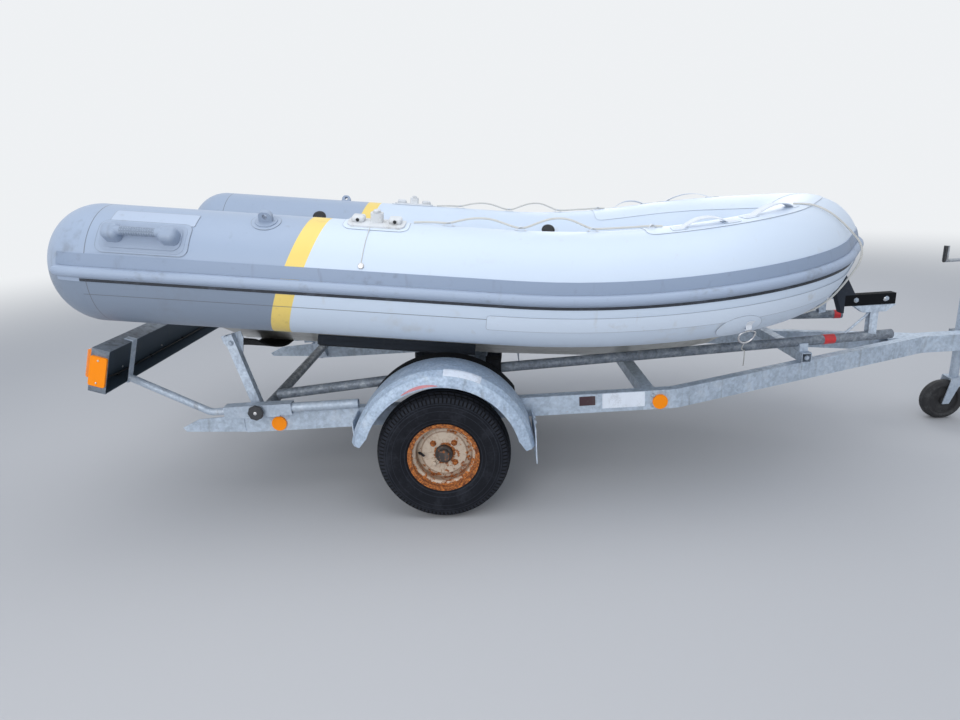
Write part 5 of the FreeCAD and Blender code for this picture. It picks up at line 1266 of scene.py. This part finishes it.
# Bolts: zinc-plated hexagon heads with washers, rusting, wherever the frame is bolted up:
# the post plates, the axle plates, the fender stays, the bow rest and the coupling.
bolted = lathe([(0.0115, 0.0), (0.0115, 0.0016), (0.0081, 0.0018), (0.0081, 0.0072), (0.0058, 0.0084)],
               6)
soften(bolted, 0.0005, 1)
OUT = rotated(90, "X")
DOWN = rotated(180, "X")
FORWARD = rotated(90, "Y")
BOLT_SPOTS = [
    # trailer place, way out
    ((0.3565, -0.650, 0.350), FORWARD),
    ((0.3565, -0.600, 0.350), FORWARD),
    ((0.115, -0.530, 0.3287), DOWN),
    ((0.165, -0.530, 0.3287), DOWN),
    ((0.840, -0.550, 0.395), OUT),
    ((0.840, -0.550, 0.355), OUT),
    ((1.560, -0.315, 0.436), OUT),
    ((1.800, -0.220, 0.655), OUT),
    ((1.930, -0.220, 0.655), OUT),
    ((2.545, -0.0305, 0.440), OUT),
    ((2.600, -0.0305, 0.440), OUT),
]
bolt_places = [side @ TRAILER_LIE @ Matrix.Translation(spot) @ way for spot,
               way in BOLT_SPOTS for side in SIDES]
head = TRAILER_LIE @ moved(-0.828, -0.512, 0.705) @ rotated(90, "X")
copies(bolted, "frame_bolts", bolt_places + pair(head), arm_zinc, "zinc", smooth=25)


# Welds: the uneven beads that join the frame's cross-members, posts and stays to the rails,
# galvanised with the rest.
WELDS = [
    # trailer places along each bead
    [(-0.005, -0.512, 0.4165), (-0.005, -0.548, 0.4165)],
    [(0.045, -0.512, 0.4165), (0.045, -0.548, 0.4165)],
    [(0.815, -0.509, 0.350), (0.815, -0.509, 0.400)],
    [(0.865, -0.509, 0.350), (0.865, -0.509, 0.400)],
    [(0.816, -0.509, 0.4005), (0.864, -0.509, 0.4005)],
    [(0.3575, -0.552, 0.338), (0.3575, -0.552, 0.363)],
    [(-0.3455, -0.552, 0.345), (-0.3455, -0.552, 0.402)],
    [(-0.816, -0.5515, 0.342), (-0.816, -0.5515, 0.408)],
    [(0.096, -0.551, 0.3345), (0.184, -0.551, 0.3345)],
    [(-0.772, -0.5095, 0.349), (-0.733, -0.5095, 0.349)],
]
bead_lines = [[Vector(start).lerp(Vector(end), step / 8) for step in range(9)] for start, end in WELDS]
beads = nurbs("weld_beads", bead_lines, 0.0026, 12, 2)
for spline, (start, end) in zip(beads.data.splines, WELDS):
    for step, spot in enumerate(spline.points):
        spot.radius = 1.0 + 0.22 * math.sin(2.7 * step + 11 * start[0])
copies(made_mesh(beads), "weld_beads", pair(TRAILER_LIE), lit_post_zinc, "galvanised")


# Jack crank: bent steel rod with a black plastic grip on its end, and a chromed look worn
# to grey. The grip is told from the rod by where it is.
crank_finish, place = new_finish("crank_steel", (0.45, 0.47, 0.50, 1), 0.4, 0.6)
lift = axes_of(place)
grip = ramp(lift["X"], 1.609, 1.606)
steel = soiled(place, (0.42, 0.45, 0.49, 1), 0.5, 30.0, (0.16, 0.13, 0.11, 1))
feed(tint(grip, steel, (0.03, 0.031, 0.034, 1)), "Base Color")
feed(times(minus(1.0, grip), 0.6), "Metallic")
bump(speckle(place, 140.0), 0.0004)
dress(crank_finish, "jack_crank")


# Keel belt: ribbed black rubber webbing slung between the rear posts, bolted at its ends
# and pulled into a curve by the keel that rests in it.
BELT_X = 0.412
BELT_W = 0.150
BELT_T = 0.0065
BELT_LINE = [
    # across, boat height of the belt's top face
    (0.4705, -0.288),
    (0.420, -0.313),
    (0.360, -0.338),
    (0.300, -0.360),
    (0.240, -0.3795),
    (0.180, -0.396),
    (0.120, -0.4095),
    (0.060, -0.4188),
    (0.0, -0.4208),
]
belt_points = [(y, z) for y, z in BELT_LINE] + [(-y, z) for y, z in reversed(BELT_LINE[:-1])]
belt = grid(len(belt_points) - 1, 12)
for vertex in belt.data.vertices:
    step = round((vertex.co.x + 0.5) * (len(belt_points) - 1))
    y, z = belt_points[step]
    curl = 0.004 * (2 * vertex.co.y) ** 4
    vertex.co = (BELT_X + vertex.co.y * BELT_W, y, z - curl * 0.5)
smooth_belt = belt.modifiers.new("smooth", "SUBSURF")
smooth_belt.levels = 2
smooth_belt.render_levels = 2
thicken(belt, BELT_T, 0.0)
belt_finish, place = new_finish("ribbed_rubber", (0.010, 0.011, 0.013, 1), 0.75, specular=0.2)
axes = axes_of(in_frame(place, BOAT_LIE))
ribs = calc("SINE", times(axes["X"], 420.0))
feed(soiled(place, (0.006, 0.0066, 0.008, 1), 0.4, 12.0, (0.03, 0.03, 0.032, 1)), "Base Color")
bump(ribs, 0.0010)
apply_all(belt)
belt.data.transform(moved(0, 0, -0.0045))
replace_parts(finished(belt, "keel_belt", belt_finish, "rubber_black", place=BOAT_LIE), "rear_belt")


# Bunks: timber boards under the hull's bottom panels, capped with ribbed black rubber. The
# cap wraps over the board's sides and is nailed along them.
timber_finish, place = new_finish("bunk_covering", (0.040, 0.047, 0.060, 1), 0.8, specular=0.15)
axes = axes_of(place)
ribs = calc("SINE", times(axes["Y"], 700.0))
feed(soiled(place, (0.036, 0.043, 0.056, 1), 0.4, 11.0, (0.075, 0.08, 0.09, 1)), "Base Color")
bump(plus(ribs, speckle(place, 80.0)), 0.0007)
dress(timber_finish, "bunks", "bow_pads")


# Bow rest: plated steel studs with low round heads, two on each side, that clamp the pads'
# channels to the rest.
pad_screw = lathe([(0.0090, 0.0), (0.0090, 0.0008), (0.0065, 0.0036), (0.0032, 0.0040)], 20)
REST_BOLTS = [TRAILER_LIE @ moved(x, -0.2205, 0.652) @ rotated(90, "X") for x in (1.800, 1.925)]
copies(pad_screw, "bow_rest_studs", [side @ spot for spot in REST_BOLTS for side in SIDES],
       steel_finish, "zinc")


# Coupling: the lever on top that works its latch, black plastic moulded over pressed steel
# and pinned through the head. It is bowed and narrows toward the front.
lever = rounded_block((0.150, 0.034, 0.010), 0.004, 3)
edit(lever)
bpy.ops.mesh.select_all(action="SELECT")
bpy.ops.mesh.subdivide(number_cuts=3)
done_editing()
for vertex in lever.data.vertices:
    along = vertex.co.x / 0.15 + 0.5
    vertex.co.z += 0.020 * math.sin(math.pi * along) * 0.5 + 0.016 * (1 - along)
    vertex.co.y *= 0.72 + 0.28 * (1 - along)
LEVER = TRAILER_LIE @ moved(2.690, 0, 0.468) @ rotated(-4, "Y")
copies(lever, "coupling_lever", [LEVER], black_finish, "knob_black")
